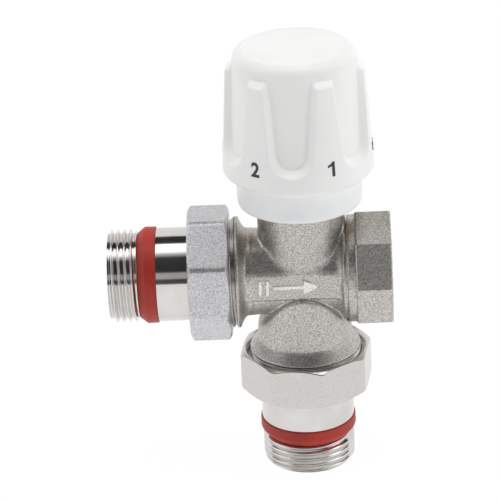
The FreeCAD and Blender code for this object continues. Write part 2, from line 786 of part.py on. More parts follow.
def disc_screw():
    """Cheese-head screw that clamps washer and disc to the spindle's lower end."""
    head = rod(DISC_SCREW_RADIUS, WASHER_BOTTOM - DISC_SCREW_HEAD, WASHER_BOTTOM)
    slot = Part.makeBox(2 * DISC_SCREW_RADIUS, 0.8, 0.8)
    slot.translate(vector(-DISC_SCREW_RADIUS, -0.4, WASHER_BOTTOM - DISC_SCREW_HEAD))
    return head.cut(slot).fuse(rod(DISC_STUD_RADIUS, WASHER_BOTTOM, STUD_TOP)).removeSplitter()


# --- head ---

COUPLING_BOTTOM = BONNET_SEAT + LOOSE
COUPLING_BORE = HEAD_THREAD_RADIUS + THREAD_CLEARANCE
COUPLING_RADIUS = COUPLING_BORE + COUPLING_WALL
COUPLING_TOP = COUPLING_BOTTOM + COUPLING_LENGTH
STOP_LOW = COLLAR_TOP
STOP_HIGH = STOP_LOW + STOP_HEIGHT


def sector(outer, inner, low, high, middle, arc):
    """Part of a ring, centred on the angle middle and arc degrees wide."""
    piece = lathe([(inner, low), (outer, low), (outer, high), (inner, high)])
    wedge = [CENTRE]
    for k in range(5):
        angle = radians(middle - arc / 2 + arc * k / 4)
        wedge.append(vector(3 * outer * cos(angle), 3 * outer * sin(angle), 0))
    cutter = Part.Face(Part.makePolygon(wedge + wedge[:1])).extrude(vector(0, 0, high - low))
    cutter.translate(vector(0, 0, low))
    return piece.common(cutter)


def key_bars(stand, width, low, high):
    """Bars across the tower's wall: the carriage's keys, or with clearance the slots they slide in."""
    root = CAPSULE_RADIUS + LOOSE + 1
    bar = Part.makeBox(TOWER_BORE + stand - root, width, high - low)
    bar.translate(vector(root, -width / 2, low))
    return around(bar, KEY_COUNT, 30)


def head_collar():
    """Fixed white collar: skirt over the union ring, and a slotted tower that the handwheel turns on."""
    inner = COUPLING_RADIUS + RUNNING
    edge = COLLAR_RADIUS - COLLAR_ROUND
    steps = 4
    outline = [(HEAD_THREAD_RADIUS + LOOSE, COLLAR_BOTTOM)]
    for k in range(steps + 1):
        part = radians(90 * k / steps)
        outline.append(
            (edge + COLLAR_ROUND * sin(part), COLLAR_BOTTOM + COLLAR_ROUND * (1 - cos(part)))
        )
    snap_low = SNAP_LEVEL - SNAP_HEIGHT / 2 - LOOSE
    snap_high = SNAP_LEVEL + SNAP_HEIGHT / 2 + LOOSE
    outline += [
        (COLLAR_RADIUS, GRIP_BOTTOM - LOOSE),
        (WHEEL_SKIRT_BORE - LOOSE, GRIP_BOTTOM - LOOSE),
        (WHEEL_SKIRT_BORE - LOOSE, COLLAR_TOP),
        (TOWER_RADIUS, COLLAR_TOP),
        (TOWER_RADIUS, snap_low),
        (TOWER_RADIUS - SNAP_DEPTH, snap_low),
        (TOWER_RADIUS - SNAP_DEPTH, snap_high),
        (TOWER_RADIUS, snap_high),
        (TOWER_RADIUS, TOWER_TOP),
        (TOWER_BORE, TOWER_TOP),
        (TOWER_BORE, COUPLING_TOP + 1.5),
        (HEAD_THREAD_RADIUS - 0.8, COUPLING_TOP + RUNNING),
        (inner, COUPLING_TOP + RUNNING),
        (inner, COUPLING_BOTTOM),
        (HEAD_THREAD_RADIUS + LOOSE, COUPLING_BOTTOM),
    ]
    shape = lathe(outline)
    slot_bottom = CARRIAGE_BOTTOM - KEY_SLOT_SPARE
    slots = key_bars(KEY_STAND + LOOSE, KEY_WIDTH + 2 * LOOSE, slot_bottom, TOWER_TOP + 1)
    stop_radius = WHEEL_SKIRT_BORE - LOOSE
    stop = sector(stop_radius, TOWER_RADIUS - 1, STOP_LOW - 0.5, STOP_HIGH, stop_angle(), STOP_ARC)
    return shape.cut(slots).fuse(stop).removeSplitter()


def stop_angle():
    """Angle of the collar's stop block: just past the handwheel's lug when that is turned fully down."""
    return WHEEL_LUG_ANGLE - STOP_TURN_DOWN - STOP_ARC - STOP_MARGIN


def coupling_ring():
    """Brass ring moulded into the collar, with the female M30 x 1.5 thread drawn at its core clearance."""
    grip = []
    for k in range(12):
        notch = Part.makeCylinder(0.5, COUPLING_LENGTH, vector(COUPLING_RADIUS, 0, COUPLING_BOTTOM))
        grip.append(notch.rotated(CENTRE, Z, 30 * k))
    return tube(COUPLING_RADIUS, COUPLING_BORE, COUPLING_BOTTOM, COUPLING_TOP).cut(grip)


def recess():
    """Cutter for the U-shaped recess at the front, wider towards its top and its mouth."""
    centre = RECESS_BOTTOM + RECESS_WIDTH / 2
    high = CAP_TOP + 3
    wires = []
    for reach in (CAP_RADIUS - 3, GRIP_RADIUS + 3):
        low = RECESS_WIDTH / 2 + RECESS_FLARE * (reach - FLOOR_RADIUS_LOW)
        top = low + RECESS_TAPER * (high - centre)
        a = vector(-low, -reach, centre)
        b = vector(0, -reach, centre - low)
        c = vector(low, -reach, centre)
        d = vector(top, -reach, high)
        e = vector(-top, -reach, high)
        edges = [Part.Arc(a, b, c).toShape()]
        edges += [Part.makeLine(p, q) for p, q in ((c, d), (d, e), (e, a))]
        wires.append(Part.Wire(edges))
    return Part.makeLoft(wires, True, True)


def cap_outline():
    """Outer outline of the cap and of the recess floors: one cone with a rounded upper edge."""
    steps = 5
    points = [(FLOOR_RADIUS_LOW, RECESS_BOTTOM - 1.5)]
    for k in range(steps + 1):
        part = radians(90 * k / steps)
        points.append(
            (
                CAP_RADIUS - CAP_ROUND * (1 - cos(part)),
                CAP_TOP - CAP_ROUND * (1 - sin(part)),
            )
        )
    return points


def handwheel():
    """White handwheel: closed cap with six ribs, turning on the tower and screwed to the carriage."""
    grip = lathe(
        [
            (0, GRIP_BOTTOM),
            (GRIP_RADIUS - GRIP_TUCK, GRIP_BOTTOM),
            (GRIP_RADIUS, GRIP_WIDEST),
            (GRIP_RADIUS - 0.1, GRIP_WIDEST + 1.5),
            (GRIP_SHOULDER_RADIUS, GRIP_SHOULDER - 0.6),
            (GRIP_SHOULDER_RADIUS - 0.6, GRIP_SHOULDER),
            (CAP_RADIUS, CAP_SHOULDER),
            (0, CAP_SHOULDER),
        ]
    )
    core = lathe([(0, RECESS_BOTTOM - 1.5)] + cap_outline() + [(0, CAP_TOP)])
    outside = grip.cut(around(recess(), RIB_COUNT, RIB_TURN)).fuse(core)
    ceiling = CAP_TOP - WHEEL_WALL
    snap_low = SNAP_LEVEL - SNAP_HEIGHT / 2
    snap_high = SNAP_LEVEL + SNAP_HEIGHT / 2
    snap_radius = TOWER_RADIUS - SNAP_DEPTH + LOOSE
    hollow = lathe(
        [
            (0, GRIP_BOTTOM - 1),
            (WHEEL_SKIRT_BORE, GRIP_BOTTOM - 1),
            (WHEEL_SKIRT_BORE, WHEEL_SKIRT_TOP - 1),
            (WHEEL_BORE, WHEEL_SKIRT_TOP),
            (WHEEL_BORE, snap_low),
            (snap_radius, snap_low),
            (snap_radius, snap_high),
            (WHEEL_BORE, snap_high),
            (WHEEL_BORE, CARRIAGE_BORE_BOTTOM),
            (CARRIAGE_BORE, CARRIAGE_BORE_BOTTOM),
            (CARRIAGE_BORE, ceiling),
            (0, ceiling),
        ]
    )
    lug_low = STOP_LOW + LOOSE
    lug_high = WHEEL_SKIRT_TOP - 1.5
    lug_radius = WHEEL_SKIRT_BORE + 0.5
    lug = sector(lug_radius, WHEEL_BORE, lug_low, lug_high, WHEEL_LUG_ANGLE, STOP_ARC)
    return outside.cut(hollow).fuse(lug).removeSplitter()


# --- thermostatic element ---


def sensor_holder():
    """Carriage of the thermostatic element: keyed in the tower, its rim screwed into the handwheel."""
    inner = CAPSULE_RADIUS + LOOSE
    outer = TOWER_BORE - RUNNING
    body = lathe(
        [
            (inner, CARRIAGE_BOTTOM),
            (outer, CARRIAGE_BOTTOM),
            (outer, CARRIAGE_RIM_BOTTOM - 1),
            (CARRIAGE_RADIUS, CARRIAGE_RIM_BOTTOM),
            (CARRIAGE_RADIUS, CARRIAGE_TOP),
            (0, CARRIAGE_TOP),
            (0, CARRIAGE_TOP - CARRIAGE_WALL),
            (inner, CARRIAGE_TOP - CARRIAGE_WALL),
        ]
    )
    keys = key_bars(KEY_STAND, KEY_WIDTH, CARRIAGE_BOTTOM, CARRIAGE_BOTTOM + KEY_HEIGHT)
    chamber = rod(inner, CARRIAGE_BOTTOM - 1, CARRIAGE_TOP - CARRIAGE_WALL)
    return body.fuse(keys).cut(chamber).removeSplitter()


def sensor_clip():
    """Snap ring in the carriage's mouth, under the capsule's flange."""
    top = CAPSULE_BOTTOM - RUNNING
    return tube(CAPSULE_RADIUS, CAPSULE_NECK_RADIUS + LOOSE, top - CLIP_HEIGHT, top)


def sensor_capsule():
    """Closed capsule of the thermostatic element, with a guide neck for its piston."""
    bore = PISTON_RADIUS + RUNNING
    pocket = CAPSULE_BOTTOM + CAPSULE_POCKET
    side = CAPSULE_RADIUS - CAPSULE_FLANGE_STEP
    return lathe(
        [
            (bore, CAPSULE_BOTTOM - CAPSULE_NECK_LENGTH),
            (CAPSULE_NECK_RADIUS, CAPSULE_BOTTOM - CAPSULE_NECK_LENGTH),
            (CAPSULE_NECK_RADIUS, CAPSULE_BOTTOM),
            (CAPSULE_RADIUS, CAPSULE_BOTTOM),
            (CAPSULE_RADIUS, CAPSULE_BOTTOM + CAPSULE_FLANGE),
            (side, CAPSULE_BOTTOM + CAPSULE_FLANGE),
            (side, CAPSULE_TOP - 1),
            (side - 1, CAPSULE_TOP),
            (0, CAPSULE_TOP),
            (0, pocket),
            (bore, pocket),
        ]
    )


def sensor_piston():
    """Piston of the thermostatic element, with the button that presses on the spindle."""
    button_top = PIN_TOP + PISTON_BUTTON_HEIGHT
    end = CAPSULE_BOTTOM + CAPSULE_POCKET - PISTON_END_GAP
    return lathe(
        [
            (0, PIN_TOP),
            (PISTON_BUTTON_RADIUS - 0.4, PIN_TOP),
            (PISTON_BUTTON_RADIUS, PIN_TOP + 0.4),
            (PISTON_BUTTON_RADIUS, button_top),
            (PISTON_RADIUS, button_top),
            (PISTON_RADIUS, end),
            (0, end),
        ]
    )


def overtravel_spring():
    """Stiff spring above the capsule, which gives way when the valve is already shut."""
    return coil(
        OVERTRAVEL_SPRING_RADIUS,
        OVERTRAVEL_SPRING_WIRE / 2,
        CAPSULE_TOP + RUNNING,
        CARRIAGE_TOP - CARRIAGE_WALL - RUNNING,
        OVERTRAVEL_SPRING_TURNS,
    )


# --- every piece in its place ---

PIECES = {
    "valve_body": valve_body(),
    "bonnet": bonnet(),
    "bonnet_o_ring": bonnet_o_ring(),
    "gland_nut": gland_nut(),
    "gland_o_rings": gland_o_rings(),
    "spring_retainer": spring_retainer(),
    "return_spring": return_spring(),
    "spindle": spindle(),
    "spring_stop": spring_stop(),
    "valve_disc": valve_disc(),
    "seat_washer": seat_washer(),
    "disc_screw": disc_screw(),
    "head_collar": head_collar(),
    "coupling_ring": coupling_ring(),
    "handwheel": handwheel(),
    "sensor_holder": sensor_holder(),
    "sensor_capsule": sensor_capsule(),
    "sensor_clip": sensor_clip(),
    "sensor_piston": sensor_piston(),
    "overtravel_spring": overtravel_spring(),
    "left_tail": to_left(tailpiece(LEFT_SPIGOT_REACH, LEFT_TAIL_LENGTH)),
    "left_sealing_ring": to_left(sealing_ring(LEFT_SPIGOT_REACH, LEFT_TAIL_LENGTH)),
    "left_tail_o_ring": to_left(tail_o_ring(LEFT_SPIGOT_REACH)),
    "left_union_nut": to_left(union_nut(LEFT_SPIGOT_REACH, LEFT_NUT_TURN)),
    "lower_tail": to_lower(tailpiece(LOWER_SPIGOT_REACH, LOWER_TAIL_LENGTH)),
    "lower_sealing_ring": to_lower(sealing_ring(LOWER_SPIGOT_REACH, LOWER_TAIL_LENGTH)),
    "lower_tail_o_ring": to_lower(tail_o_ring(LOWER_SPIGOT_REACH)),
    "lower_union_nut": to_lower(union_nut(LOWER_SPIGOT_REACH, 90 + LOWER_NUT_TURN)),
}

os.makedirs("parts", exist_ok=True)
for name, piece in PIECES.items():
    piece.translate(vector(0, 0, PORT_HEIGHT))
    piece.exportStep(f"parts/{name}.step")
    print(f"{name:20s} solids {len(piece.Solids)}  valid {piece.isValid()}  volume {piece.Volume:9.1f}")
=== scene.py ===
# %% [markdown]
# # A thermostatic radiator valve
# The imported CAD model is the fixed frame: it says where every part lies and how it moves. This script gives
# the parts their looks. It rebuilds the visible castings, nuts, tailpieces and mouldings as finer surfaces,
# and gives the hidden brass, steel and rubber their finishes.

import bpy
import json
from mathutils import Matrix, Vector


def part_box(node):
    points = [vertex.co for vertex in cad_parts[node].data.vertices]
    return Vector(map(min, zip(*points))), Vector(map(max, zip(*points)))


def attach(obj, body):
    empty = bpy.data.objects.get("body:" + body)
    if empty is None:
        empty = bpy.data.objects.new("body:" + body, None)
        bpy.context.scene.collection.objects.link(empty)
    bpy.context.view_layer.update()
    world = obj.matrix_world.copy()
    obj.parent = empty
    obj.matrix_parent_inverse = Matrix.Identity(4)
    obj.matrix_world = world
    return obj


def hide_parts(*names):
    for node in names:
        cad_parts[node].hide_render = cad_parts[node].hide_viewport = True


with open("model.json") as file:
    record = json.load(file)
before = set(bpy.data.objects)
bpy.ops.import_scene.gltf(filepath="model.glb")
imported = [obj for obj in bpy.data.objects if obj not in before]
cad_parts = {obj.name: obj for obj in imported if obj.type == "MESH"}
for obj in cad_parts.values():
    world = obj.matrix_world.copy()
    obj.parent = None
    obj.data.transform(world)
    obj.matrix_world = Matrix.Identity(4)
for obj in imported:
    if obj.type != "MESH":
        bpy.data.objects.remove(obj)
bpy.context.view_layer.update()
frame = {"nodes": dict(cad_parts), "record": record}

import json
from math import cos, radians, sin, tan

import bpy
import numpy as np
from mathutils import Matrix

# %% [markdown]
# ## Sizes
# The script thinks in millimetres, like the drawing, and counts from the point where the port axis meets the
# spindle axis. Lengths that the frame knows are read from it, so a piece always lands on its CAD part.
# The rest are the sizes of details that the frame's boxes don't show, such as a thread's pitch.

# %% Read sizes from the frame
MM = 0.001


def span(node, axis):
    """Lowest and highest coordinate of a CAD node along one axis (0, 1, 2), in millimetres."""
    low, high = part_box(node)
    return low[axis] / MM, high[axis] / MM


PORT_HEIGHT = sum(span("left_tail", 2)) / 2
left_end, left_nose = span("left_tail", 0)
lower_end, lower_nose = (level - PORT_HEIGHT for level in span("lower_tail", 2))
left_nut_far, left_nut_near = span("left_union_nut", 0)
lower_nut_far, lower_nut_near = (level - PORT_HEIGHT for level in span("lower_union_nut", 2))
port_end = span("valve_body", 0)[1]
neck_top = span("valve_body", 2)[1] - PORT_HEIGHT
collar_low = span("head_collar", 2)[0] - PORT_HEIGHT
wheel_low, wheel_top = (level - PORT_HEIGHT for level in span("handwheel", 2))
print(f"port axis {PORT_HEIGHT:.2f} mm up, left end {left_end:.2f}, port end {port_end:.2f}")
print(f"head from {wheel_low:.2f} to {wheel_top:.2f}, neck top {neck_top:.2f}")

# %% [markdown]
# ## From numbers to a mesh
# Every turned or moulded part is a grid of points: one direction runs along its section, the other runs
# round its axis. The grid closes on itself round the axis. Along the section it either closes too, like a
# ring with a hole, or ends in two single points on the axis, like a cap. A solid whose faces point outwards
# has a positive signed volume, so that is measured and the grid is turned over when it comes out negative.

# %% Mesh from arrays
def solid(name, points, quads, triangles=None, flat_edges=False):
    """Object from points in millimetres and corner indices; flips all faces when the volume is negative.

    The signed volume is the sum over triangles of a . (b x c) / 6.
    """
    triangles = np.zeros((0, 3), int) if triangles is None else triangles
    halves = np.concatenate([quads[:, [0, 1, 2]], quads[:, [0, 2, 3]], triangles])
    a, b, c = (points[halves[:, k]] for k in range(3))
    volume = np.einsum("ij,ij->i", a, np.cross(b, c)).sum() / 6
    if volume < 0:
        quads, triangles = quads[:, ::-1], triangles[:, ::-1]
    placed = (points + (0, 0, PORT_HEIGHT)) * MM
    mesh = bpy.data.meshes.new(name)
    mesh.vertices.add(len(placed))
    mesh.vertices.foreach_set("co", placed.astype(np.float32).ravel())
    corners = np.concatenate([quads.ravel(), triangles.ravel()])
    starts = np.concatenate([np.arange(len(quads)) * 4, len(quads) * 4 + np.arange(len(triangles)) * 3])
    mesh.loops.add(len(corners))
    mesh.loops.foreach_set("vertex_index", corners.astype(np.int32))
    mesh.polygons.add(len(starts))
    mesh.polygons.foreach_set("loop_start", starts.astype(np.int32))
    mesh.update(calc_edges=True)
    mesh.validate()
    mesh.shade_smooth()
    piece = bpy.data.objects.new(name, mesh)
    bpy.context.scene.collection.objects.link(piece)
    if flat_edges:
        even = piece.modifiers.new("even_shading", "WEIGHTED_NORMAL")
        even.keep_sharp = True
        even.weight = 80
    print(f"{name}: {len(quads) * 2 + len(triangles)} triangles, {abs(volume) / 1000:.2f} cm3")
    return piece


def shell(name, grid, poles=False):
    """Closed surface of a (rows, columns, 3) grid whose columns run round an axis.

    With poles the first and last rows are one point each; without them the last row joins the first.
    """
    rows, columns = grid.shape[:2]
    index = np.arange(rows * columns).reshape(rows, columns)
    if not poles:
        index = np.vstack([index, index[:1]])
    index = np.hstack([index, index[:, :1]])
    quads = np.stack([index[:-1, :-1], index[:-1, 1:], index[1:, 1:], index[1:, :-1]], -1)
    if not poles:
        return solid(name, grid.reshape(-1, 3), quads.reshape(-1, 4), flat_edges=True)
    points = np.concatenate([grid[:1, 0], grid[1:-1].reshape(-1, 3), grid[-1:, 0]])
    index = index - (columns - 1)
    last = len(points) - 1
    middle = np.stack([index[1:-2, :-1], index[1:-2, 1:], index[2:-1, 1:], index[2:-1, :-1]], -1)
    first_fan = np.stack([np.zeros(columns, int), index[1, 1:], index[1, :-1]], -1)
    last_fan = np.stack([np.full(columns, last), index[-2, :-1], index[-2, 1:]], -1)
    fans = np.concatenate([first_fan, last_fan])
    return solid(name, points, middle.reshape(-1, 4), fans, flat_edges=True)


# %% Sections with rounded corners
def rounded(corners, radii, steps=4):
    """Closed section whose corner P becomes the curve (1-t)^2 A + 2t(1-t) P + t^2 B.

    A and B lie on the two sides, one radius from P. Corners may carry a further axis, such as the angle
    round a nut, and are then rounded for every angle at once.
    """
    corners = np.asarray(corners, float)
    radii = np.broadcast_to(radii, len(corners))
    t = np.linspace(0, 1, steps + 1).reshape((-1,) + (1,) * (corners.ndim - 1))
    parts = []
    for k, (corner, radius) in enumerate(zip(corners, radii)):
        if radius == 0:
            parts.append(corner[None])
            continue
        sides = [corners[k - 1] - corner, corners[(k + 1) % len(corners)] - corner]
        lengths = [np.linalg.norm(side, axis=-1, keepdims=True) for side in sides]
        a, b = (
            corner + side * np.minimum(radius, 0.45 * length) / np.maximum(length, 1e-9)
            for side, length in zip(sides, lengths)
        )
        parts.append((1 - t) ** 2 * a + 2 * t * (1 - t) * corner + t**2 * b)
    return np.concatenate(parts)


def turned(section, angles):
    """Points of a section of (radius, level) carried round +Z through the given angles in radians."""
    section = np.asarray(section, float)
    if section.ndim == 2:
        section = section[:, None]
    radius, level = section[..., 0], section[..., 1]
    level = np.broadcast_to(level, (len(section), len(angles)))
    return np.stack([radius * np.cos(angles), radius * np.sin(angles), level], -1)


def to_left(points):
    """Turn points built along +Z so that they run along -X."""
    return np.stack([-points[..., 2], points[..., 1], points[..., 0]], -1)


def to_right(points):
    """Turn points built along +Z so that they run along +X."""
    return np.stack([points[..., 2], points[..., 1], -points[..., 0]], -1)


def to_lower(points):
    """Turn points built along +Z so that they run along -Z."""
    return points * (1, -1, -1)


def ring_of(count):
    """Evenly spaced angles for one full turn."""
    return np.arange(count) * 2 * np.pi / count


# %% [markdown]
# ## Threads
# A screw thread is a ridge that climbs by one pitch for each turn. On the grid that is only a radius that
# depends on the level and the angle together: the phase z / pitch - angle / 2 pi says how far up the ridge
# a point is. A flat crest and a flat root, each an eighth of the pitch, keep it from looking like a saw.
# The ridge fades out at both ends, as it does where a die starts to cut.

# %% Threaded stretch
PIPE_RADIUS, PIPE_PITCH, PIPE_DEPTH = 13.22, 1.814, 1.162
UNION_RADIUS, UNION_PITCH, UNION_DEPTH = 15.9, 1.5, 0.85
ROWS_PER_PITCH = 12


def ridge(phase):
    """Height of a thread from 0 at the root to 1 at the crest, for a phase in turns; 0 is the crest."""
    away = 2 * np.abs(phase - np.round(phase))
    return np.clip((1 - away - 1 / 8) / (3 / 4), 0, 1)


def threaded(crest, depth, pitch, start, end, crest_at, front, angles, fade=0.5):
    """Section rows (radius, level) for every angle along a thread from start to end.

    radius = crest - depth + depth * ridge * fade, with a crest passing the level crest_at at the angle
    front, and fade rising from 0 to 1 over half a pitch at each end.
    """
    way = np.sign(end - start)
    count = int(abs(end - start) / pitch * ROWS_PER_PITCH) + 1
    levels = np.linspace(start, end, count)[:, None]
    phase = (levels - crest_at) / pitch - (angles - front) / (2 * np.pi)
    near = np.clip((levels - start) * way / (pitch * fade), 0, 1)
    far = np.clip((end - levels) * way / (pitch * fade), 0, 1)
    radius = crest - depth + depth * ridge(phase) * near * far
    return np.stack([radius, np.broadcast_to(levels, radius.shape)], -1)


def for_every(section, angles):
    """Repeat a plain section for every angle, so that it can be joined to a threaded stretch."""
    return np.repeat(np.asarray(section, float)[:, None], len(angles), 1)


# %% [markdown]
# ## Tailpieces
# Each union has a turned brass tailpiece: a nose that enters the body, a flange that the nut pulls on, a
# plain body, a groove with a red ring, and a G 3/4 thread. It is one section carried round the axis, with
# the helical thread as its only stretch that changes with the angle.

# %% Tailpiece sections
TAIL_FACE = 1.05
TAIL_END_RADIUS = 12.65
TAIL_THREAD = 8.3
TAIL_BORE = 10.0
TAIL_BODY = 13.4
RING_FROM_END = 8.5
RING_CONE = 2.0
RING_STRAIGHT = 3.2
NOSE_LENGTH = 4.2
NOSE_RADIUS = 10.95
TAIL_FLANGE_RADIUS, TAIL_FLANGE_LENGTH = 14.9, 2.0
GROOVE_RADIUS = 11.72


def tailpiece(name, nose, end, turn, front):
    """Tailpiece along +Z from the level nose to the level end; front is the angle that faces the viewer."""
    angles = ring_of(144)
    shoulder = nose + NOSE_LENGTH
    ring_end = end - RING_FROM_END
    ring_start = ring_end - RING_CONE - RING_STRAIGHT
    root = PIPE_RADIUS - PIPE_DEPTH
    back = rounded(
        [
            (TAIL_BORE, nose),
            (NOSE_RADIUS, nose),
            (NOSE_RADIUS, shoulder),
            (TAIL_FLANGE_RADIUS, shoulder),
            (TAIL_FLANGE_RADIUS, shoulder + TAIL_FLANGE_LENGTH),
            (TAIL_BODY, shoulder + TAIL_FLANGE_LENGTH),
            (TAIL_BODY, ring_start),
            (GROOVE_RADIUS, ring_start),
            (GROOVE_RADIUS, ring_end + 0.02),
            (root, ring_end + 0.1),
        ],
        [0.3, 0.5, 0.2, 0.3, 0.3, 0.2, 0.22, 0.1, 0.02, 0],
    )
    thread_start = end - TAIL_THREAD - 0.1
    thread = threaded(
        PIPE_RADIUS, PIPE_DEPTH, PIPE_PITCH, thread_start, end - 0.42, end - TAIL_FACE, front, angles, 0.3
    )
    front_end = rounded(
        [(root, end - 0.4), (12.2, end - 0.35), (TAIL_END_RADIUS - 0.25, end), (TAIL_BORE, end)],
        [0, 0, 0.2, 0.5],
    )
    section = np.concatenate([for_every(back, angles), thread, for_every(front_end, angles)])
    return shell(name, turn(turned(section, angles)))


left_tail = tailpiece("left_tailpiece", -left_nose, -left_end, to_left, radians(24.5))
lower_tail = tailpiece("lower_tailpiece", -lower_nose, -lower_end, to_lower, radians(90))


# %% [markdown]
# ## Red sealing rings
# A moulded silicone ring sits behind each pipe thread: straight beside the body, then a cone that a flat
# face squeezes. Its edges are soft, so every corner gets a radius of a few tenths of a millimetre.

# %% Sealing rings
RING_BORE, RING_TIP = 11.75, 12.15
RING_OUTSIDE = (13.72, 13.78)


def sealing_ring(name, end, turn):
    """Ring along +Z in the groove of the tailpiece that ends at the level end."""
    high = end - RING_FROM_END
    low = high - RING_CONE - RING_STRAIGHT
    section = rounded(
        [
            (RING_BORE, low),
            (RING_OUTSIDE[0], low),
            (RING_OUTSIDE[1], high - RING_CONE),
            (RING_TIP, high),
            (RING_BORE, high),
        ],
        [0.1, 0.45, 0.3, 0.3, 0.1],
        steps=6,
    )
    return shell(name, turn(turned(section, ring_of(128))))


left_ring = sealing_ring("left_red_ring", -left_end, to_left)
lower_ring = sealing_ring("lower_red_ring", -lower_end, to_lower)

# %% [markdown]
# ## Union nuts
# A union nut is a bar of eight flats, chamfered at 30 degrees in the lathe and turned down a little at its
# corners. Each angle round the axis has its own section: the flat's distance is the half width divided by
# the cosine of the angle from the middle of the flat. The chamfer ends where it meets that flat, so the
# curved edge that a real nut shows comes out exact, with grid lines lying along it.

# %% Nut sections
NUT_HALF = 18.0
NUT_CORNER = 19.25
NUT_SLOPE = tan(radians(30))
EDGE = 0.28
NUT_SHOULDER = 2.28
LEFT_NUT_TURN, LOWER_NUT_TURN = radians(4.0), radians(98.6)


def flat_angles(corners, half, corner, turn, per_flat=9):
    """Angles that crowd at the corners of a regular bar, with one at each end of a turned-down corner."""
    blunt = np.pi / corners - np.arccos(half / corner)
    inner = np.linspace(-1, 1, per_flat)
    inner = np.sign(inner) * (1 - (1 - np.abs(inner)) ** 1.6)
    within = inner * (np.pi / corners - blunt)
    one = np.concatenate([within, within[-1:] + blunt * np.array([0.35, 1.0, 1.65])])
    return (one[None] + turn + np.arange(corners)[:, None] * 2 * np.pi / corners).ravel()


def flat_radius(angles, corners, half, corner, turn):
    """Distance of a regular bar's surface from its axis: half / cos(angle from the flat's middle)."""
    pitch = 2 * np.pi / corners
    away = (angles - turn + pitch / 2) % pitch - pitch / 2
    return np.minimum(half / np.cos(away), corner)


def barred(half, corner, slope, near, far, inside, turn, corners=8, edge=EDGE):
    """Grid of a chamfered regular bar along +Z; inside is the section of its hollow from far to near."""
    angles = flat_angles(corners, half, corner, turn)
    radius = flat_radius(angles, corners, half, corner, turn)
    rise = (radius - half + 0.05) * slope
    zero = np.zeros_like(radius)
    outside = np.stack(
        [
            np.stack([zero + half - 0.05, zero + near], -1),
            np.stack([radius, near + rise], -1),
            np.stack([radius, far - rise], -1),
            np.stack([zero + half - 0.05, zero + far], -1),
        ]
    )
    corners_all = np.concatenate([outside, for_every(inside, angles)])
    radii = [edge] * 4 + [0.2] * len(inside)
    return turned(rounded(corners_all, radii, steps=3), angles)


NUT_MOUTH_RADIUS = 17.5
NUT_MOUTH_DEPTH = 1.5


def union_nut(name, near, far, turn_angle, turn):
    """Octagonal union nut along +Z, its mouth at near and its shoulder at far."""
    bore = UNION_RADIUS + 0.08
    inside = [
        (TAIL_BODY + 0.75, far),
        (TAIL_BODY + 0.15, far - 0.6),
        (TAIL_BODY + 0.15, far - NUT_SHOULDER),
        (bore, far - NUT_SHOULDER),
        (bore, near + NUT_MOUTH_DEPTH),
        (NUT_MOUTH_RADIUS, near),
    ]
    return shell(name, turn(barred(NUT_HALF, NUT_CORNER, NUT_SLOPE, near, far, inside, turn_angle)))


left_nut = union_nut("left_nut", -left_nut_near, -left_nut_far, LEFT_NUT_TURN, to_left)
lower_nut = union_nut("lower_nut", -lower_nut_near, -lower_nut_far, LOWER_NUT_TURN, to_lower)

# %% [markdown]
# ## Threaded port boss and union spigots
# The boss is the same kind of bar as the nuts, with a helical thread down its bore. The two spigots are
# sleeves with the union thread outside; the last turns can be seen beside each nut.

# %% Port boss
PORT_HALF = 15.75
PORT_CORNER = 17.0
PORT_NEAR = 15.0
PORT_THREAD_LENGTH = 11.5
PORT_TURN = radians(20.5)


def port_boss():
    """Octagonal boss along +Z from PORT_NEAR to the port's end, with a female pipe thread."""
    angles = flat_angles(8, PORT_HALF, PORT_CORNER, PORT_TURN)
    radius = flat_radius(angles, 8, PORT_HALF, PORT_CORNER, PORT_TURN)
    rise = (radius - PORT_HALF) * 0.15 + 0.3
    zero = np.zeros_like(radius)
    outside = np.stack(
        [
            np.stack([zero + 12.6, zero + PORT_NEAR], -1),
            np.stack([radius - 0.3, zero + PORT_NEAR], -1),
            np.stack([radius, PORT_NEAR + rise], -1),
            np.stack([radius, port_end - rise], -1),
            np.stack([radius - 0.3, zero + port_end], -1),
            np.stack([zero + PIPE_RADIUS + 0.4, zero + port_end], -1),
        ]
    )
    outside = rounded(outside, [0, 0.2, 0.2, 0.2, 0.2, 0.15], steps=3)
    inner = port_end - PORT_THREAD_LENGTH
    core = PIPE_RADIUS - PIPE_DEPTH
    thread = threaded(
        PIPE_RADIUS, PIPE_DEPTH, PIPE_PITCH, port_end - 0.5, inner, port_end - 1.2, 0, angles
    )
    thread[..., 0] = PIPE_RADIUS + core - thread[..., 0]
    throat = for_every([(PIPE_RADIUS - 0.3, inner - 0.1), (core - 0.1, inner - 0.2)], angles)
    return shell("port_boss", to_right(turned(np.concatenate([outside, thread, throat]), angles)))


boss = port_boss()


# %% Union spigots
SPIGOT_MOUTH, SPIGOT_BORE = 11.05, 9.4


def spigot_sleeve(name, flange, end, turn, front):
    """Sleeve along +Z from inside the body to the spigot's end, with the M32 x 1.5 thread outside."""
    angles = ring_of(144)
    root = UNION_RADIUS - UNION_DEPTH
    thread = threaded(
        UNION_RADIUS, UNION_DEPTH, UNION_PITCH, flange - 0.1, end - 0.3, flange + 0.25, front, angles, 0.3
    )
    seat = end - NOSE_LENGTH - 0.15
    mouth = rounded(
        [(root, end), (SPIGOT_MOUTH, end), (SPIGOT_MOUTH, seat), (SPIGOT_BORE, seat)],
        [0.4, 0.2, 0.1, 0.2],
    )
    inner = [(SPIGOT_BORE, flange - 1.5), (root - 0.6, flange - 1.5)]
    section = np.concatenate([thread, for_every(mouth, angles), for_every(inner, angles)])
    return shell(name, turn(turned(section, angles)))


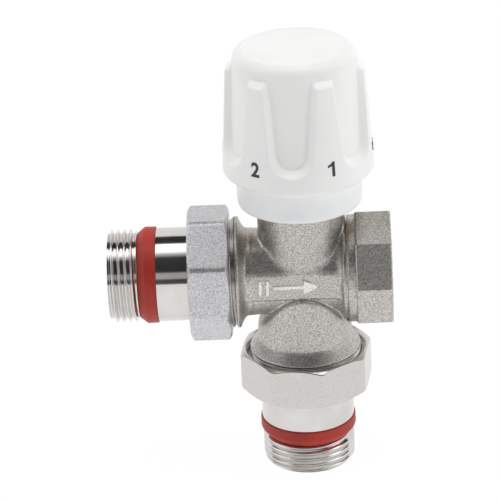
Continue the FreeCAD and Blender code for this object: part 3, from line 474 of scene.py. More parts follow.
LEFT_FLANGE, LEFT_SPIGOT = 18.95, 27.9
LOWER_FLANGE, LOWER_SPIGOT = 23.7, 31.05
left_spigot = spigot_sleeve("left_spigot_thread", LEFT_FLANGE, LEFT_SPIGOT, to_left, radians(24.5))
lower_spigot = spigot_sleeve("lower_spigot_thread", LOWER_FLANGE, LOWER_SPIGOT, to_lower, radians(90))

# %% [markdown]
# ## Forged body
# A forging has no sharp inner corners: metal flows round every junction. Modelling those blends with
# patches is laborious, so the body is a distance field, a function that says how far a point is from the
# surface. Round bars, a neck and an arm are joined with a smooth minimum, which fills each junction with a
# soft fillet, and the waterways are taken away. A grid of cells finds where the field is zero, puts one
# point in each cell that the surface crosses, and joins neighbouring points with faces.

# %% Pieces of the field
def join(a, b, blend):
    """Smooth minimum: min(a, b) - h^2 blend / 4 with h = max(blend - |a - b|, 0) / blend."""
    h = np.maximum(blend - np.abs(a - b), 0) / blend
    return np.minimum(a, b) - h**2 * blend / 4


def meet(a, b, blend):
    """Smooth maximum, the mirror of the smooth minimum."""
    return -join(-a, -b, blend)


def slab(value, low, high):
    """Distance to the layer between low and high."""
    return np.maximum(low - value, value - high)


BAR_RADIUS = 12.4
PAD_HALF = 12.15
PAD_LOW, PAD_HIGH = -3.75, 4.1
NECK_RADIUS = 12.3
ARM_RADIUS = 13.45
ARM_ARCH_TOP, ARM_ARCH_BEND = -3.8, 0.066
ARM_STRAIGHT_END = 19.6
LEFT_FLARE, LEFT_RIM, LEFT_HOLLOW = 2.6, 0.9, 1.9
LOWER_RIM, LOWER_HOLLOW = 0.5, 1.2
CHAMBER, SEAT, ARM_BORE, CROSSING = 10.05, 7.0, 9.5, 8.0
SEAT_FLOOR, SEAT_UNDER = -8.5, -11.0
PORT_CONE_START, PORT_CONE_SLOPE = 11.6, 1.35
PORT_GROOVE, PORT_RING = 14.1, 15.3


def crossbar(x, y, z):
    """Round bar with a flat pad, a small bevel above it and a slanting facet on each side."""
    side = np.abs(y)
    facet = side * 0.791 + z * 0.6117 - 12.12
    bevel = side * 0.9455 + z * 0.3256 - 12.6
    bar = meet(meet(np.hypot(y, z) - BAR_RADIUS, facet, 0.2), side - PAD_HALF, 0.1)
    pad = meet(side - PAD_HALF, slab(z, PAD_LOW, PAD_HIGH + 1.2), 0.18)
    pad = meet(meet(pad, bevel, 0.15), facet, 0.2)
    return np.maximum(join(bar, pad, 0.15), slab(x, -LEFT_FLANGE + 1.2, 12.2))


def flared(radius, along, stem, flange, flare, rim, hollow):
    """Spigot root: its radius grows from the stem's to the thread's as a power of the way along the flare.

    A power of 1 makes a cone and a higher one a hollow curve, with a narrow rim before the thread. The
    difference of the radii is multiplied by the cosine of the skirt's slope to give a distance.
    """
    share = np.clip((along - flange + rim + flare) / flare, 0, 1)
    step = UNION_RADIUS - stem
    skirt = (radius - stem - step * share**hollow) * flare / np.hypot(flare, step)
    return meet(skirt, slab(along, flange - rim - flare - 1, flange + 0.05), 0.12)


def forging(x, y, z):
    """Distance field of the body: bar, neck, arm, flares and port ring, less the waterways."""
    upright = np.hypot(x, y)
    level = np.hypot(y, z)
    body = crossbar(x, y, z)
    neck = np.maximum(upright - NECK_RADIUS, slab(z, PAD_HIGH - 0.3, neck_top))
    arch = (z - ARM_ARCH_TOP + ARM_ARCH_BEND * x**2) / np.hypot(1, 2 * ARM_ARCH_BEND * x)
    arm = np.maximum(meet(upright - ARM_RADIUS, arch, 1.0), -z - ARM_STRAIGHT_END - 0.6)
    body = join(body, neck, 1.2)
    body = join(body, arm, 0.5)
    left = flared(level, -x, BAR_RADIUS - 0.1, LEFT_FLANGE, LEFT_FLARE, LEFT_RIM, LEFT_HOLLOW)
    lower_flare = LOWER_FLANGE - LOWER_RIM - ARM_STRAIGHT_END
    lower = flared(upright, -z, ARM_RADIUS, LOWER_FLANGE, lower_flare, LOWER_RIM, LOWER_HOLLOW)
    body = join(join(body, left, 0.5), lower, 0.3)
    cone_side = level - PORT_GROOVE - (x - PORT_CONE_START) * PORT_CONE_SLOPE
    cone = np.maximum(cone_side * 0.6, slab(x, 6.0, 11.9))
    groove = np.maximum(level - PORT_GROOVE, slab(x, 11.5, 15.4))
    ring = meet(level - PORT_RING, slab(x, 12.7, 15.9), 0.4)
    body = join(join(join(body, cone, 1.4), groove, 0.4), ring, 0.35)
    chamber = np.maximum(upright - CHAMBER, SEAT_FLOOR - z)
    seat = np.maximum(upright - SEAT, slab(z, SEAT_UNDER - 1, 0))
    arm_bore = np.maximum(upright - ARM_BORE, z - SEAT_UNDER)
    crossing = level - CROSSING
    for hollow in (chamber, seat, arm_bore, crossing):
        body = np.maximum(body, -hollow)
    return body


# %% Surface where the field is zero
def contour(field, low, high, cell):
    """Points and quads of the surface field = 0, one point in each grid cell that the surface crosses.

    A point starts at the mean of the crossings on its cell's edges and takes Newton steps
    p - f grad f / |grad f|^2. Each edge that crosses the surface gives one quad, from its four cells.
    """
    low = np.asarray(low, float)
    counts = np.ceil((np.asarray(high) - low) / cell).astype(int) + 1
    axes = [low[k] + cell * np.arange(counts[k]) for k in range(3)]
    value = field(*np.meshgrid(*axes, indexing="ij", sparse=True))
    inside = value < 0
    total = np.zeros((counts.prod(), 3))
    hits = np.zeros(counts.prod())
    quads = []
    for axis in range(3):
        shift = np.eye(3, dtype=int)[axis]
        near = tuple(slice(0, counts[k] - shift[k]) for k in range(3))
        far = tuple(slice(shift[k], None) for k in range(3))
        start = np.argwhere(inside[near] != inside[far])
        end = start + shift
        first, second = value[tuple(start.T)], value[tuple(end.T)]
        part = (first / (first - second))[:, None]
        place = low + cell * (start + part * shift)
        b, c = np.eye(3, dtype=int)[(axis + 1) % 3], np.eye(3, dtype=int)[(axis + 2) % 3]
        cells = [np.ravel_multi_index((start - step).T, counts) for step in (0 * b, b, b + c, c)]
        for one in cells:
            np.add.at(hits, one, 1)
            np.add.at(total, one, place)
        quad = np.stack(cells, -1)
        leaving = inside[tuple(start.T)]
        quads.append(np.where(leaving[:, None], quad, quad[:, ::-1]))
    used = np.flatnonzero(hits)
    number = np.zeros(len(hits), int)
    number[used] = np.arange(len(used))
    points = total[used] / hits[used, None]
    reach = 0.01 * cell
    for _ in range(3):
        here = field(*points.T)
        slope = np.stack(
            [
                (field(*(points + reach * step).T) - field(*(points - reach * step).T)) / (2 * reach)
                for step in np.eye(3)
            ],
            -1,
        )
        move = here[:, None] * slope / np.maximum((slope**2).sum(1), 1e-3)[:, None]
        points -= np.clip(move, -0.4 * cell, 0.4 * cell)
    return points, number[np.concatenate(quads)]


CELL = 0.4
corner_low = (-LEFT_FLANGE - 1, -17.2, -LOWER_FLANGE - 1)
corner_high = (17.2, 17.2, neck_top + 1)
body_points, body_quads = contour(forging, corner_low, corner_high, CELL)
body = solid("forged_body", body_points, body_quads)

# %% [markdown]
# ## Cast arrow
# The pad between the ports carries a raised arrow with two bars. It is a flat outline given a thickness and
# a small bevel, like a letter in a mould, and stands a third of a millimetre above the pad.

# %% Flow arrow
ARROW_RELIEF = 0.35
ARROW_BEVEL = 0.33


def bars_and_arrow():
    """Outlines of the arrow and its two bars as lists of (x, z) in millimetres."""
    left, right, half, shaft, head = -12.6, 4.6, 2.5, 0.62, 4.6
    bar, gap = 1.1, 1.0
    start, neck = left + 2 * (bar + gap), right - head
    arrow = [(start, -shaft), (neck, -shaft), (neck, -half), (right, 0), (neck, half), (neck, shaft)]
    outlines = [arrow + [(start, shaft)]]
    for k in range(2):
        low = left + k * (bar + gap)
        outlines.append([(low, -half), (low + bar, -half), (low + bar, half), (low, half)])
    return outlines


def raised_outlines(name, outlines, thickness, bevel):
    """Mesh of flat outlines, given a thickness and a bevel, lying in the curve's own X-Y plane."""
    curve = bpy.data.curves.new(name, "CURVE")
    curve.dimensions = "2D"
    curve.fill_mode = "BOTH"
    curve.extrude = thickness / 2 - bevel
    curve.bevel_depth = bevel
    curve.bevel_resolution = 2
    curve.offset = -bevel
    for outline in outlines:
        spline = curve.splines.new("POLY")
        spline.points.add(len(outline) - 1)
        spline.points.foreach_set("co", [value for x, y in outline for value in (x, y, 0, 1)])
        spline.use_cyclic_u = True
    return flat_mesh(name, curve)


def flat_mesh(name, curve):
    """Turn a curve or text into a mesh and return its points as an array, with the object to fill."""
    holder = bpy.data.objects.new(name + "_outline", curve)
    bpy.context.scene.collection.objects.link(holder)
    mesh = bpy.data.meshes.new_from_object(holder)
    bpy.data.objects.remove(holder)
    points = np.zeros(len(mesh.vertices) * 3)
    mesh.vertices.foreach_get("co", points)
    mesh.name = name
    piece = bpy.data.objects.new(name, mesh)
    bpy.context.scene.collection.objects.link(piece)
    return piece, points.reshape(-1, 3)


def put_points(piece, points):
    """Write points in millimetres from the port axis into a piece's mesh."""
    placed = (points + (0, 0, PORT_HEIGHT)) * MM
    piece.data.vertices.foreach_set("co", placed.ravel())
    piece.data.update()
    return piece


arrow, flat = raised_outlines("flow_arrow", bars_and_arrow(), 2 * ARROW_RELIEF, ARROW_BEVEL)
pad_middle = (PAD_LOW + PAD_HIGH) / 2
placed = np.stack([flat[:, 0], -PAD_HALF - flat[:, 2], pad_middle + flat[:, 1]], -1)
put_points(arrow, placed)
print(f"flow arrow: {len(flat)} points")

# %% [markdown]
# ## Head collar
# The collar is the fixed white ring under the handwheel. It is moulded, so its lower edge is rounded, and
# inside it carries the tower on which the handwheel turns.

# %% Collar
COLLAR_RADIUS = 17.65
COLLAR_BORE, COLLAR_CAVITY = 15.15, 16.6
SLEEVE_RADIUS, SLEEVE_TOP = 16.8, 31.2
TOWER_RADIUS, TOWER_BORE, TOWER_TOP = 15.6, 12.7, 46.0


def head_collar():
    """Collar along +Z: rounded skirt, step under the handwheel, and the tower inside."""
    seam = wheel_low - 0.15
    section = rounded(
        [
            (COLLAR_BORE, collar_low),
            (COLLAR_RADIUS, collar_low),
            (COLLAR_RADIUS, seam),
            (SLEEVE_RADIUS, seam),
            (SLEEVE_RADIUS, SLEEVE_TOP),
            (TOWER_RADIUS, SLEEVE_TOP),
            (TOWER_RADIUS, TOWER_TOP),
            (TOWER_BORE, TOWER_TOP),
            (TOWER_BORE, 31.6),
            (14.2, 30.1),
            (COLLAR_CAVITY, 30.1),
            (COLLAR_CAVITY, 24.6),
            (COLLAR_BORE, 24.6),
        ],
        [0.4, 1.9, 0.25, 0.2, 0.2, 0.2, 0.3, 0.3, 0.2, 0.2, 0.1, 0.1, 0.1],
        steps=6,
    )
    return shell("collar", turned(section, ring_of(192)))


collar = head_collar()

# %% [markdown]
# ## Handwheel
# The handwheel is one moulding: a cap with a ring of six broad ribs and a U-shaped recess between each two.
# Seen from the axis every direction meets the outside once, so the outside is a radius that depends on angle
# and level. It is the cap's cone, plus the ribs' height wherever the point lies outside the U. The height
# rises over a sloped wall about a millimetre wide, and small curves soften its foot and its rim.

# %% Ribs and recesses
RIBS = 6
RIB_TURN = radians(-5)
RECESS_HALF = 4.6
RECESS_CENTRE = 43.1
RECESS_TAPER = 0.076
FLOOR_LOW = (18.6, 37.0)
FLOOR_HIGH = (17.34, 64.6)
CREST_LOW = (21.33, 33.2)
CREST_HIGH = (19.4, 61.8)
ROOF_END = 63.4
CAP_ROUND = 2.7
DISC_RADIUS, DISC_SINK = 14.4, 0.08
WALL_SIDE, WALL_FOOT = 1.15, 1.75
GRIP_END, GRIP_RADIUS, GRIP_LOW = 33.6, 21.4, 32.3
SKIRT_BORE, WHEEL_BORE, CARRIAGE_BORE = 17.0, 15.75, 14.8
TOP_WALL = 1.9


def straight(level, low, high):
    """Radius on the cone through two (radius, level) points."""
    return low[0] + (high[0] - low[0]) * (level - low[1]) / (high[1] - low[1])


def soft_step(value, curve=0.12):
    """Ramp from 0 to 1 whose two corners are smoothed over the given share of its width."""
    return meet(join(value, np.ones_like(value), curve), np.zeros_like(value), curve)


def recess_height(angles, levels):
    """Share of the rib's height at each angle and level: 0 on a recess floor, 1 on a rib.

    The recess outline is a half circle below, and above it two straight sides that lean apart. Distance
    from that outline, measured along the skin, is divided by the width of the sloped wall.
    """
    sector = 2 * np.pi / RIBS
    away = (angles - RIB_TURN + np.pi / 2 + sector / 2) % sector - sector / 2
    across = np.abs(away) * straight(levels, FLOOR_LOW, FLOOR_HIGH) * 1.03
    above = levels - RECESS_CENTRE
    side = across - RECESS_HALF - RECESS_TAPER * above
    foot = np.hypot(across, above) - RECESS_HALF
    distance = np.where(above > 0, side, foot)
    wall = WALL_SIDE + (WALL_FOOT - WALL_SIDE) * np.clip(-above / RECESS_HALF, 0, 1)
    return soft_step(distance / wall)


def wheel_angles():
    """Angles that crowd where the walls of the recesses stand and thin out on floors and ribs."""
    sector = 2 * np.pi / RIBS
    half = sector / 2
    share = np.concatenate(
        [np.linspace(0, 0.36, 6, endpoint=False), np.linspace(0.36, 0.78, 22, endpoint=False)]
    )
    share = np.concatenate([share, np.linspace(0.78, 1, 5, endpoint=False)])
    one = np.concatenate([share * half, sector - share[:0:-1] * half, [half]])
    one = np.sort(one)
    return (one[None] + RIB_TURN - np.pi / 2 + np.arange(RIBS)[:, None] * sector).ravel()


def rib_crest(levels):
    """Radius of a rib's crest: straight, then a slanting roof down to the cap."""
    roof = CREST_HIGH[0] - (levels - CREST_HIGH[1]) * (CREST_HIGH[0] - 17.3) / (ROOF_END - CREST_HIGH[1])
    return meet(join(straight(levels, CREST_LOW, CREST_HIGH), roof, 0.35), 17.0 + 0 * levels, 0.2)


def handwheel():
    """Grid of the whole handwheel, from the middle of its top, down the outside and up inside."""
    angles = wheel_angles()
    top = wheel_top
    low = top - CAP_ROUND
    edge = straight(low, FLOOR_LOW, FLOOR_HIGH)
    bend = np.linspace(0, np.pi / 2, 14)[:-1]
    arc = np.stack([edge - CAP_ROUND * (1 - np.sin(bend)), low + CAP_ROUND * np.cos(bend)], -1)
    disc = np.linspace(0, DISC_RADIUS, 8)
    crown = np.concatenate([np.stack([disc, np.full(len(disc), top - DISC_SINK)], -1), arc])
    levels = np.concatenate(
        [
            np.linspace(low, 60.6, 18, endpoint=False),
            np.linspace(60.6, 45.0, 32, endpoint=False),
            np.linspace(45.0, 35.0, 44, endpoint=False),
            np.linspace(35.0, GRIP_END, 3),
        ]
    )[:, None]
    floor = straight(levels, FLOOR_LOW, FLOOR_HIGH)
    crest = np.maximum(rib_crest(levels), floor)
    radius = floor + (crest - floor) * recess_height(angles, levels)
    side = np.stack([radius, np.broadcast_to(levels, radius.shape)], -1)
    skirt = rounded(
        [
            (straight(GRIP_END, CREST_LOW, CREST_HIGH), GRIP_END),
            (GRIP_RADIUS, GRIP_LOW),
            (18.5, wheel_low),
            (SKIRT_BORE, wheel_low),
            (SKIRT_BORE, 34.6),
            (WHEEL_BORE, 35.6),
            (WHEEL_BORE, 47.8),
            (CARRIAGE_BORE, 47.8),
            (CARRIAGE_BORE, top - TOP_WALL),
            (0, top - TOP_WALL),
        ],
        [0, 1.2, 0.5, 0.3, 0.2, 0.2, 0.2, 0.2, 0.8, 0],
        steps=6,
    )
    section = np.concatenate([for_every(crown, angles), side, for_every(skirt[1:], angles)])
    return shell("handwheel_moulding", turned(section, angles), poles=True)


wheel = handwheel()

# %% [markdown]
# ## Dial marks
# The ribs carry the settings: 1 to 5, and a frost star. Each is a piece of text turned into a thin mesh and
# wrapped onto the rib's cone. The angle of a point is its distance along the line divided by the radius.

# %% Numbers on the ribs
MARK_HEIGHT = 4.3
MARK_WIDTH = 2.7
ONE_WIDTH = 2.1
MARK_LEVEL = 38.6
MARK_TURN = radians(-4.0)
MARK_PROUD = 0.05
MARKS = ["*", "1", "2", "3", "4", "5"]
FLAGGED_ONE = [(5, 0), (5, 10), (3.4, 10), (2.2, 8.7), (0, 7.8), (0, 6.2), (2.9, 7.2), (2.9, 0)]


def dial_mark(order, text):
    """Thin mesh of one mark wrapped on its rib; the ribs follow each other clockwise from above."""
    name = "dial_mark_star" if text == "*" else f"dial_mark_{text}"
    if text == "1":
        piece, flat = raised_outlines(name, [FLAGGED_ONE], 1.0, 0.0)
    else:
        curve = bpy.data.curves.new("mark", "FONT")
        curve.body = text
        curve.size = 1.0
        curve.offset = 0.03
        curve.extrude = 0.02
        piece, flat = flat_mesh(name, curve)
    low, high = flat.min(0), flat.max(0)
    wide = {"*": MARK_HEIGHT, "1": ONE_WIDTH}.get(text, MARK_WIDTH)
    size = np.array([wide, MARK_HEIGHT * (0.9 if text == "*" else 1.0)])
    local = (flat[:, :2] - (low[:2] + high[:2]) / 2) / (high[:2] - low[:2]) * size
    proud = np.where(flat[:, 2] > 0, MARK_PROUD, -0.25)
    level = MARK_LEVEL + local[:, 1]
    radius = straight(level, CREST_LOW, CREST_HIGH)
    angle = MARK_TURN - order * 2 * np.pi / RIBS + local[:, 0] / radius
    points = np.stack([(radius + proud) * np.cos(angle), (radius + proud) * np.sin(angle), level], -1)
    return put_points(piece, points)


dial = [dial_mark(order, text) for order, text in enumerate(MARKS)]
print("dial marks:", ", ".join(mark.name for mark in dial))

# %% [markdown]
# ## Finishes
# Every finish starts as the stuff it is made of and the way its surface was made. Colours are written as the
# hex values that a paint card would give and turned to linear light once. Patterns are worked out from a real
# size: noise of scale 1000 / s has grains s millimetres across when the coordinates are in metres.

# %% Colour and node helpers
def srgb(code):
    """Linear RGBA of a hex colour: c / 12.92 below 0.04045, else ((c + 0.055) / 1.055) ^ 2.4."""
    parts = np.array([int(code[k : k + 2], 16) / 255 for k in (1, 3, 5)])
    linear = np.where(parts <= 0.04045, parts / 12.92, ((parts + 0.055) / 1.055) ** 2.4)
    return (*linear.tolist(), 1.0)


def grains(size):
    """Noise scale for grains of the given size in millimetres."""
    return 1 / (size * MM)


def add(tree, kind, inputs=None, **settings):
    """Add a node, set its properties, and fill its inputs: an output is linked, a value is stored."""
    node = tree.nodes.new(kind)
    for key, value in settings.items():
        setattr(node, key, value)
    for key, value in (inputs or {}).items():
        if isinstance(value, bpy.types.NodeSocket):
            tree.links.new(value, node.inputs[key])
        else:
            node.inputs[key].default_value = value
    return node


def blank_finish(name):
    """New material with its node tree emptied down to one shader and the output."""
    material = bpy.data.materials.new(name)
    material.use_nodes = True
    tree = material.node_tree
    tree.nodes.clear()
    shader = add(tree, "ShaderNodeBsdfPrincipled")
    add(tree, "ShaderNodeOutputMaterial", {"Surface": shader.outputs[0]})
    place = add(tree, "ShaderNodeTexCoord").outputs["Object"]
    return material, tree, shader, place


def shade_between(tree, factor, dark, light, low=0.35, high=0.65):
    """Colour that runs from dark to light as the factor runs from low to high."""
    ramp = add(tree, "ShaderNodeValToRGB", {"Fac": factor})
    first, last = ramp.color_ramp.elements
    first.position, first.color = low, srgb(dark)
    last.position, last.color = high, srgb(light)
    return ramp.outputs["Color"]


def roughness_between(tree, factor, low, high):
    """Roughness that runs from low to high as the factor runs over the middle of its range."""
    span_node = add(tree, "ShaderNodeMapRange", {"Value": factor, 1: 0.3, 2: 0.7, 3: low, 4: high})
    return span_node.outputs[0]


# %% [markdown]
# ## Nickel and chrome
# The forging is shot-blasted and then nickel-plated: metallic, slightly warm, with a fine grit that breaks a
# reflection into sparkling specks, which are also painted into its colour as painted sparkle and painted
# shade in the pits. The raised arrow is painted lighter than the pad, a painted highlight, and is glossier.
# The nuts are machined after blasting and only satin. The tailpieces are turned and bright-plated, so they
# mirror the studio, with faint rings left by the tool.

# %% Plated finishes
def plated(name, dark, light, rough, grit_size, grit_depth):
    """Plated brass: pits of the grit's size, deeper than the ground, with painted shade in the pits and
    painted sparkle on the crowns, and a cloudy gloss.
    """
    material, tree, shader, place = blank_finish(name)
    grit = add(tree, "ShaderNodeTexNoise", {"Vector": place, "Scale": grains(grit_size), "Detail": 4.0})
    cloud = add(tree, "ShaderNodeTexNoise", {"Vector": place, "Scale": grains(7.0), "Detail": 3.0})
    # The grit's specks of colour are painted sparkle on the crowns and painted shade in the pits.
    tone = shade_between(tree, grit.outputs["Fac"], dark, light, 0.38, 0.62)
    bump = add(
        tree,
        "ShaderNodeBump",
        {"Height": grit.outputs["Fac"], "Distance": grit_depth * MM, "Strength": 1.0},
    )
    tree.links.new(tone, shader.inputs["Base Color"])
    tree.links.new(roughness_between(tree, cloud.outputs["Fac"], *rough), shader.inputs["Roughness"])
    tree.links.new(bump.outputs[0], shader.inputs["Normal"])
    shader.inputs["Metallic"].default_value = 1.0
    return material


def turned_bright(name, axis):
    """Bright plate on turned brass: faint rings across the axis, spaced like a finishing feed of 0.12 mm.

    The rings are drawn 0.4 mm apart, because finer ones would not show.
    """
    material, tree, shader, place = blank_finish(name)
    along = add(tree, "ShaderNodeSeparateXYZ", {0: place}).outputs[axis]
    rings = add(tree, "ShaderNodeTexNoise", {"W": along, "Scale": grains(0.4)}, noise_dimensions="1D")
    cloud = add(tree, "ShaderNodeTexNoise", {"Vector": place, "Scale": grains(9.0), "Detail": 2.0})
    bump = add(
        tree, "ShaderNodeBump", {"Height": rings.outputs["Fac"], "Distance": 0.004 * MM, "Strength": 1.0}
    )
    tone = shade_between(tree, cloud.outputs["Fac"], "#CFCBC8", "#DAD8D6")
    tree.links.new(tone, shader.inputs["Base Color"])
    tree.links.new(roughness_between(tree, cloud.outputs["Fac"], 0.07, 0.13), shader.inputs["Roughness"])
    tree.links.new(bump.outputs[0], shader.inputs["Normal"])
    shader.inputs["Metallic"].default_value = 1.0
    return material


# Each pair of colours gives the painted shade in the grit's pits and the painted sparkle on its crowns.
blasted_nickel = plated("blasted_nickel_plate", "#A29E99", "#D8D5D1", (0.38, 0.46), 0.42, 0.055)
blasted_nut = plated("blasted_nut_plate", "#B4B4B6", "#DFDFE1", (0.38, 0.45), 0.42, 0.05)
satin_nickel = plated("satin_nickel_plate", "#C7C3C0", "#D5D2CF", (0.20, 0.26), 0.30, 0.010)
# The arrow's lighter colours are a painted highlight on its raised outline; its lower roughness is a glossier
# finish.
painted_highlight_nickel = plated("rubbed_nickel_plate", "#D3D0CC", "#E8E5E1", (0.20, 0.26), 0.42, 0.02)
bright_across = turned_bright("bright_plate_turned_across", "X")
bright_upright = turned_bright("bright_plate_turned_upright", "Z")

# %% [markdown]
# ## Plastic, silicone and ink
# The head is moulded ABS, white with a trace of warmth, and its fine spark-eroded texture spreads every
# highlight. Silicone is softer still, with a dusty bloom. The marks are printed in dark grey.

# %% Moulded finishes
def moulded(name, dark, light, rough, grain, depth, ior=1.5):
    """Moulded plastic or rubber: slow change of tone, fine grain as a bump, slight change of gloss."""
    material, tree, shader, place = blank_finish(name)
    fine = add(tree, "ShaderNodeTexNoise", {"Vector": place, "Scale": grains(grain), "Detail": 3.0})
    slow = add(tree, "ShaderNodeTexNoise", {"Vector": place, "Scale": grains(12.0), "Detail": 2.0})
    bump = add(
        tree, "ShaderNodeBump", {"Height": fine.outputs["Fac"], "Distance": depth * MM, "Strength": 1.0}
    )
    tone = shade_between(tree, slow.outputs["Fac"], dark, light)
    tree.links.new(tone, shader.inputs["Base Color"])
    tree.links.new(roughness_between(tree, slow.outputs["Fac"], *rough), shader.inputs["Roughness"])
    tree.links.new(bump.outputs[0], shader.inputs["Normal"])
    shader.inputs["IOR"].default_value = ior
    return material


white_abs = moulded("white_moulded_abs", "#EFEFEE", "#F2F2F1", (0.36, 0.44), 0.35, 0.006, 1.53)
collar_abs = moulded("white_collar_abs", "#EEEFF0", "#F2F3F4", (0.34, 0.42), 0.35, 0.006, 1.53)
red_silicone = moulded("red_silicone", "#9C2A22", "#B4362B", (0.45, 0.60), 0.5, 0.02, 1.41)
black_epdm = moulded("black_epdm_rubber", "#151515", "#1E1E1E", (0.55, 0.70), 0.3, 0.01, 1.52)
natural_acetal = moulded("natural_acetal", "#D9D8D0", "#E0DFD8", (0.35, 0.45), 0.3, 0.004, 1.48)
dial_ink = moulded("dark_grey_print", "#2E2E2F", "#3A3A3B", (0.45, 0.60), 0.2, 0.002)


# %% Hidden metals
def machined(name, dark, light, rough):
    """Bare machined metal: long streaks of tone and gloss round the spindle's direction."""
    material, tree, shader, place = blank_finish(name)
    up = add(tree, "ShaderNodeSeparateXYZ", {0: place}).outputs["Z"]
    streak = add(tree, "ShaderNodeTexNoise", {"W": up, "Scale": grains(0.5)}, noise_dimensions="1D")
    tone = shade_between(tree, streak.outputs["Fac"], dark, light)
    tree.links.new(tone, shader.inputs["Base Color"])
    tree.links.new(roughness_between(tree, streak.outputs["Fac"], *rough), shader.inputs["Roughness"])
    shader.inputs["Metallic"].default_value = 1.0
    return material


yellow_brass = machined("turned_yellow_brass", "#C79F57", "#D6B26B", (0.22, 0.32))
stainless = machined("turned_stainless_steel", "#B4B4B3", "#C6C6C5", (0.18, 0.28))
spring_wire = machined("drawn_spring_steel", "#8E8E90", "#A2A2A4", (0.25, 0.35))
drawn_aluminium = machined("drawn_aluminium", "#C4C5C8", "#D3D4D6", (0.25, 0.35))
print(f"{len(bpy.data.materials)} materials")

# %% [markdown]
# ## Putting the pieces on their bodies
# Each new piece rides on the body that moves it and stands for its CAD node, which is hidden; its row also
# lists the slot whose finish it carries. CAD nodes that stay, inside the valve, keep their shape and only
# change their material.

# %% Ride, replace, finish
PIECES = [
    (body, "valve", "valve_body", "blasted_nickel", blasted_nickel),
    (boss, "valve", "valve_body", "blasted_nickel", blasted_nickel),
    (left_spigot, "valve", "valve_body", "blasted_nickel", satin_nickel),
    (lower_spigot, "valve", "valve_body", "blasted_nickel", satin_nickel),
    (arrow, "valve", "valve_body", "blasted_nickel", painted_highlight_nickel),
    (left_nut, "left_nut", "left_union_nut", "satin_nickel", blasted_nut),
    (lower_nut, "lower_nut", "lower_union_nut", "satin_nickel", satin_nickel),
    (left_tail, "left_tail", "left_tail", "bright_chrome", bright_across),
    (lower_tail, "lower_tail", "lower_tail", "bright_chrome", bright_upright),
    (left_ring, "left_tail", "left_sealing_ring", "red_silicone", red_silicone),
    (lower_ring, "lower_tail", "lower_sealing_ring", "red_silicone", red_silicone),
    (collar, "valve", "head_collar", "white_collar", collar_abs),
    (wheel, "handwheel", "handwheel", "white_head", white_abs),
]
PIECES += [(mark, "handwheel", "handwheel", "white_head", dial_ink) for mark in dial]
for piece, mover, node, slot, finish in PIECES:
    piece.data.materials.clear()
    piece.data.materials.append(finish)
    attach(piece, mover)
    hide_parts(node)

SLOT_FINISH = {
    "plain_brass": yellow_brass,
    "stainless": stainless,
    "spring_steel": spring_wire,
    "inner_plastic": natural_acetal,
    "capsule_metal": drawn_aluminium,
    "black_rubber": black_epdm,
}
kept = 0
for part in frame["record"]["subparts"]:
    finish = SLOT_FINISH.get(part["material_slot"])
    if finish:
        node = frame["nodes"][part["node"]]
        node.data.materials.clear()
        node.data.materials.append(finish)
        kept += 1
print(f"{len(PIECES)} new pieces, {kept} CAD nodes kept inside")

# %% [markdown]
# ## Studio
# Polished metal shows the room, so the room is most of its look. This one is a white floor, a broad bright
# panel overhead, and dark gaps on both sides of it that draw the crisp lines along a cylinder. The sky is a
# strip of brightness against the angle from straight up, counted forwards over the front of the room.

# %% Sky
def studio_sky(bands, strength):
    """World whose brightness depends on atan2(-y, z): bands lists (degrees, brightness) in order."""
    world = bpy.data.worlds.new("studio")
    world.use_nodes = True
    tree = world.node_tree
    tree.nodes.clear()
    ways = add(tree, "ShaderNodeSeparateXYZ", {0: add(tree, "ShaderNodeTexCoord").outputs["Generated"]})
    front = add(tree, "ShaderNodeMath", {0: ways.outputs["Y"], 1: -1.0}, operation="MULTIPLY")
    angle = add(
        tree, "ShaderNodeMath", {0: front.outputs[0], 1: ways.outputs["Z"]}, operation="ARCTAN2"
    )
    share = add(tree, "ShaderNodeMapRange", {"Value": angle.outputs[0], 1: -np.pi, 2: np.pi})
    ramp = add(tree, "ShaderNodeValToRGB", {"Fac": share.outputs[0]})
    stops = ramp.color_ramp.elements
    while len(stops) < len(bands):
        stops.new(0.5)
    for stop, (degrees, level) in zip(stops, bands):
        stop.position = (degrees + 180) / 360
        stop.color = (level, level, level, 1)
    side = add(tree, "ShaderNodeMath", {0: ways.outputs["X"]}, operation="ABSOLUTE")
    ends = add(tree, "ShaderNodeMapRange", {"Value": side.outputs[0], 1: 0.62, 2: 0.85})
    mixed = add(
        tree,
        "ShaderNodeMix",
        {0: ends.outputs[0], 6: ramp.outputs["Color"], 7: (SIDE_LEVEL, SIDE_LEVEL, SIDE_LEVEL, 1)},
        data_type="RGBA",
    )
    light = add(tree, "ShaderNodeBackground", {"Color": mixed.outputs[2], "Strength": strength})
    add(tree, "ShaderNodeOutputWorld", {"Surface": light.outputs[0]})
    bpy.context.scene.world = world


SKY_STRENGTH = 2.4
SIDE_LEVEL = 0.45
BANDS = [
    (-180, 0.4),
    (-43, 0.4),
    (-39, 0.015),
    (-16, 0.015),
    (-11, 1.0),
    (4, 1.0),
    (14, 0.3),
    (24, 0.02),
    (60, 0.015),
    (64, 0.2),
    (76, 0.2),
    (79, 0.03),
    (92, 0.04),
    (97, 0.3),
    (180, 0.3),
]
studio_sky(BANDS, SKY_STRENGTH)

# %% Floor
FLOOR_SIZE = 30.0
FLOOR_DROP = 0.0002


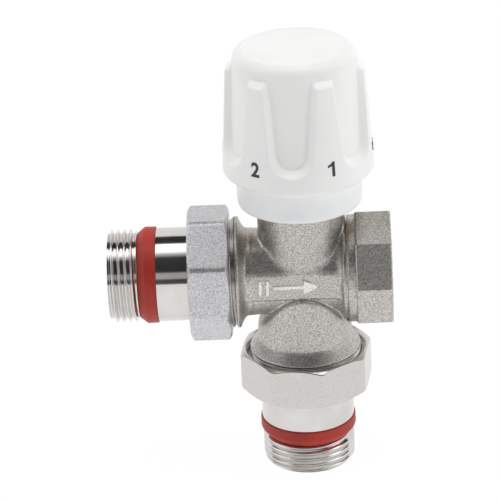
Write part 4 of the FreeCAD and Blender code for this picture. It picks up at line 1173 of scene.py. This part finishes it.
def pale_floor():
    """Large plain sheet just under the object; it glows faintly, so that it stays an even white."""
    half = FLOOR_SIZE / 2
    corners = [(-half, -half), (half, -half), (half, half), (-half, half)]
    mesh = bpy.data.meshes.new("floor")
    mesh.from_pydata([(x, y, -FLOOR_DROP) for x, y in corners], [], [(0, 1, 2, 3)])
    floor = bpy.data.objects.new("floor", mesh)
    bpy.context.scene.collection.objects.link(floor)
    material, tree, shader, place = blank_finish("white_paper")
    fibre = add(tree, "ShaderNodeTexNoise", {"Vector": place, "Scale": grains(1.0)})
    shade = shade_between(tree, fibre.outputs["Fac"], "#3A3A3A", "#3C3C3C")
    tree.links.new(shade, shader.inputs["Base Color"])
    shader.inputs["Roughness"].default_value = 0.9
    shader.inputs["Specular IOR Level"].default_value = 0.0
    shader.inputs["Emission Color"].default_value = (1, 1, 1, 1)
    shader.inputs["Emission Strength"].default_value = 0.97
    mesh.materials.append(material)


pale_floor()


# %% Soft lights
def soft_panel(name, place, towards, size, power):
    """Square area light at a place in millimetres, turned to face another place."""
    lamp = bpy.data.lights.new(name, "AREA")
    lamp.size = size * MM
    lamp.energy = power
    holder = bpy.data.objects.new(name, lamp)
    bpy.context.scene.collection.objects.link(holder)
    way = np.array(towards, float) - np.array(place, float)
    way /= np.linalg.norm(way)
    side = np.cross(way, (0, 0, 1))
    side /= np.linalg.norm(side)
    frame_axes = np.eye(4)
    frame_axes[:3, :3] = np.stack([side, np.cross(side, way), -way], -1)
    frame_axes[:3, 3] = np.array(place) * MM
    holder.matrix_world = Matrix(frame_axes.tolist())
    holder.visible_glossy = False


soft_panel("overhead_softbox", (0, -150, 1200), (0, 0, 80), 600, 2.9)
soft_panel("right_softbox", (800, -700, 500), (0, 0, 80), 500, 1.6)

# %% [markdown]
# ## Camera
# A long lens from a little above, turned slightly, so that the upright valve leans as it would on a table
# seen past a tilted camera. The lens is long enough that both ports keep nearly the same size.

# %% Camera
CAMERA_PLACE = np.array([8.42, -750.62, 408.31])
CAMERA_TARGET = np.array([-14.732, 0.0, 65.85])
CAMERA_ROLL = radians(2.74)
CAMERA_LENS = 209.2

back = CAMERA_PLACE - CAMERA_TARGET
back /= np.linalg.norm(back)
level_side = np.cross((0, 0, 1), back)
level_side /= np.linalg.norm(level_side)
upwards = np.cross(back, level_side)
side = level_side * cos(CAMERA_ROLL) - upwards * sin(CAMERA_ROLL)
camera_axes = np.eye(4)
camera_axes[:3, :3] = np.stack([side, np.cross(back, side), back], -1)
camera_axes[:3, 3] = CAMERA_PLACE * MM
lens = bpy.data.cameras.new("camera")
lens.lens = CAMERA_LENS
camera = bpy.data.objects.new("camera", lens)
bpy.context.scene.collection.objects.link(camera)
camera.matrix_world = Matrix(camera_axes.tolist())
bpy.context.scene.camera = camera
bpy.context.scene.view_settings.view_transform = "Standard"
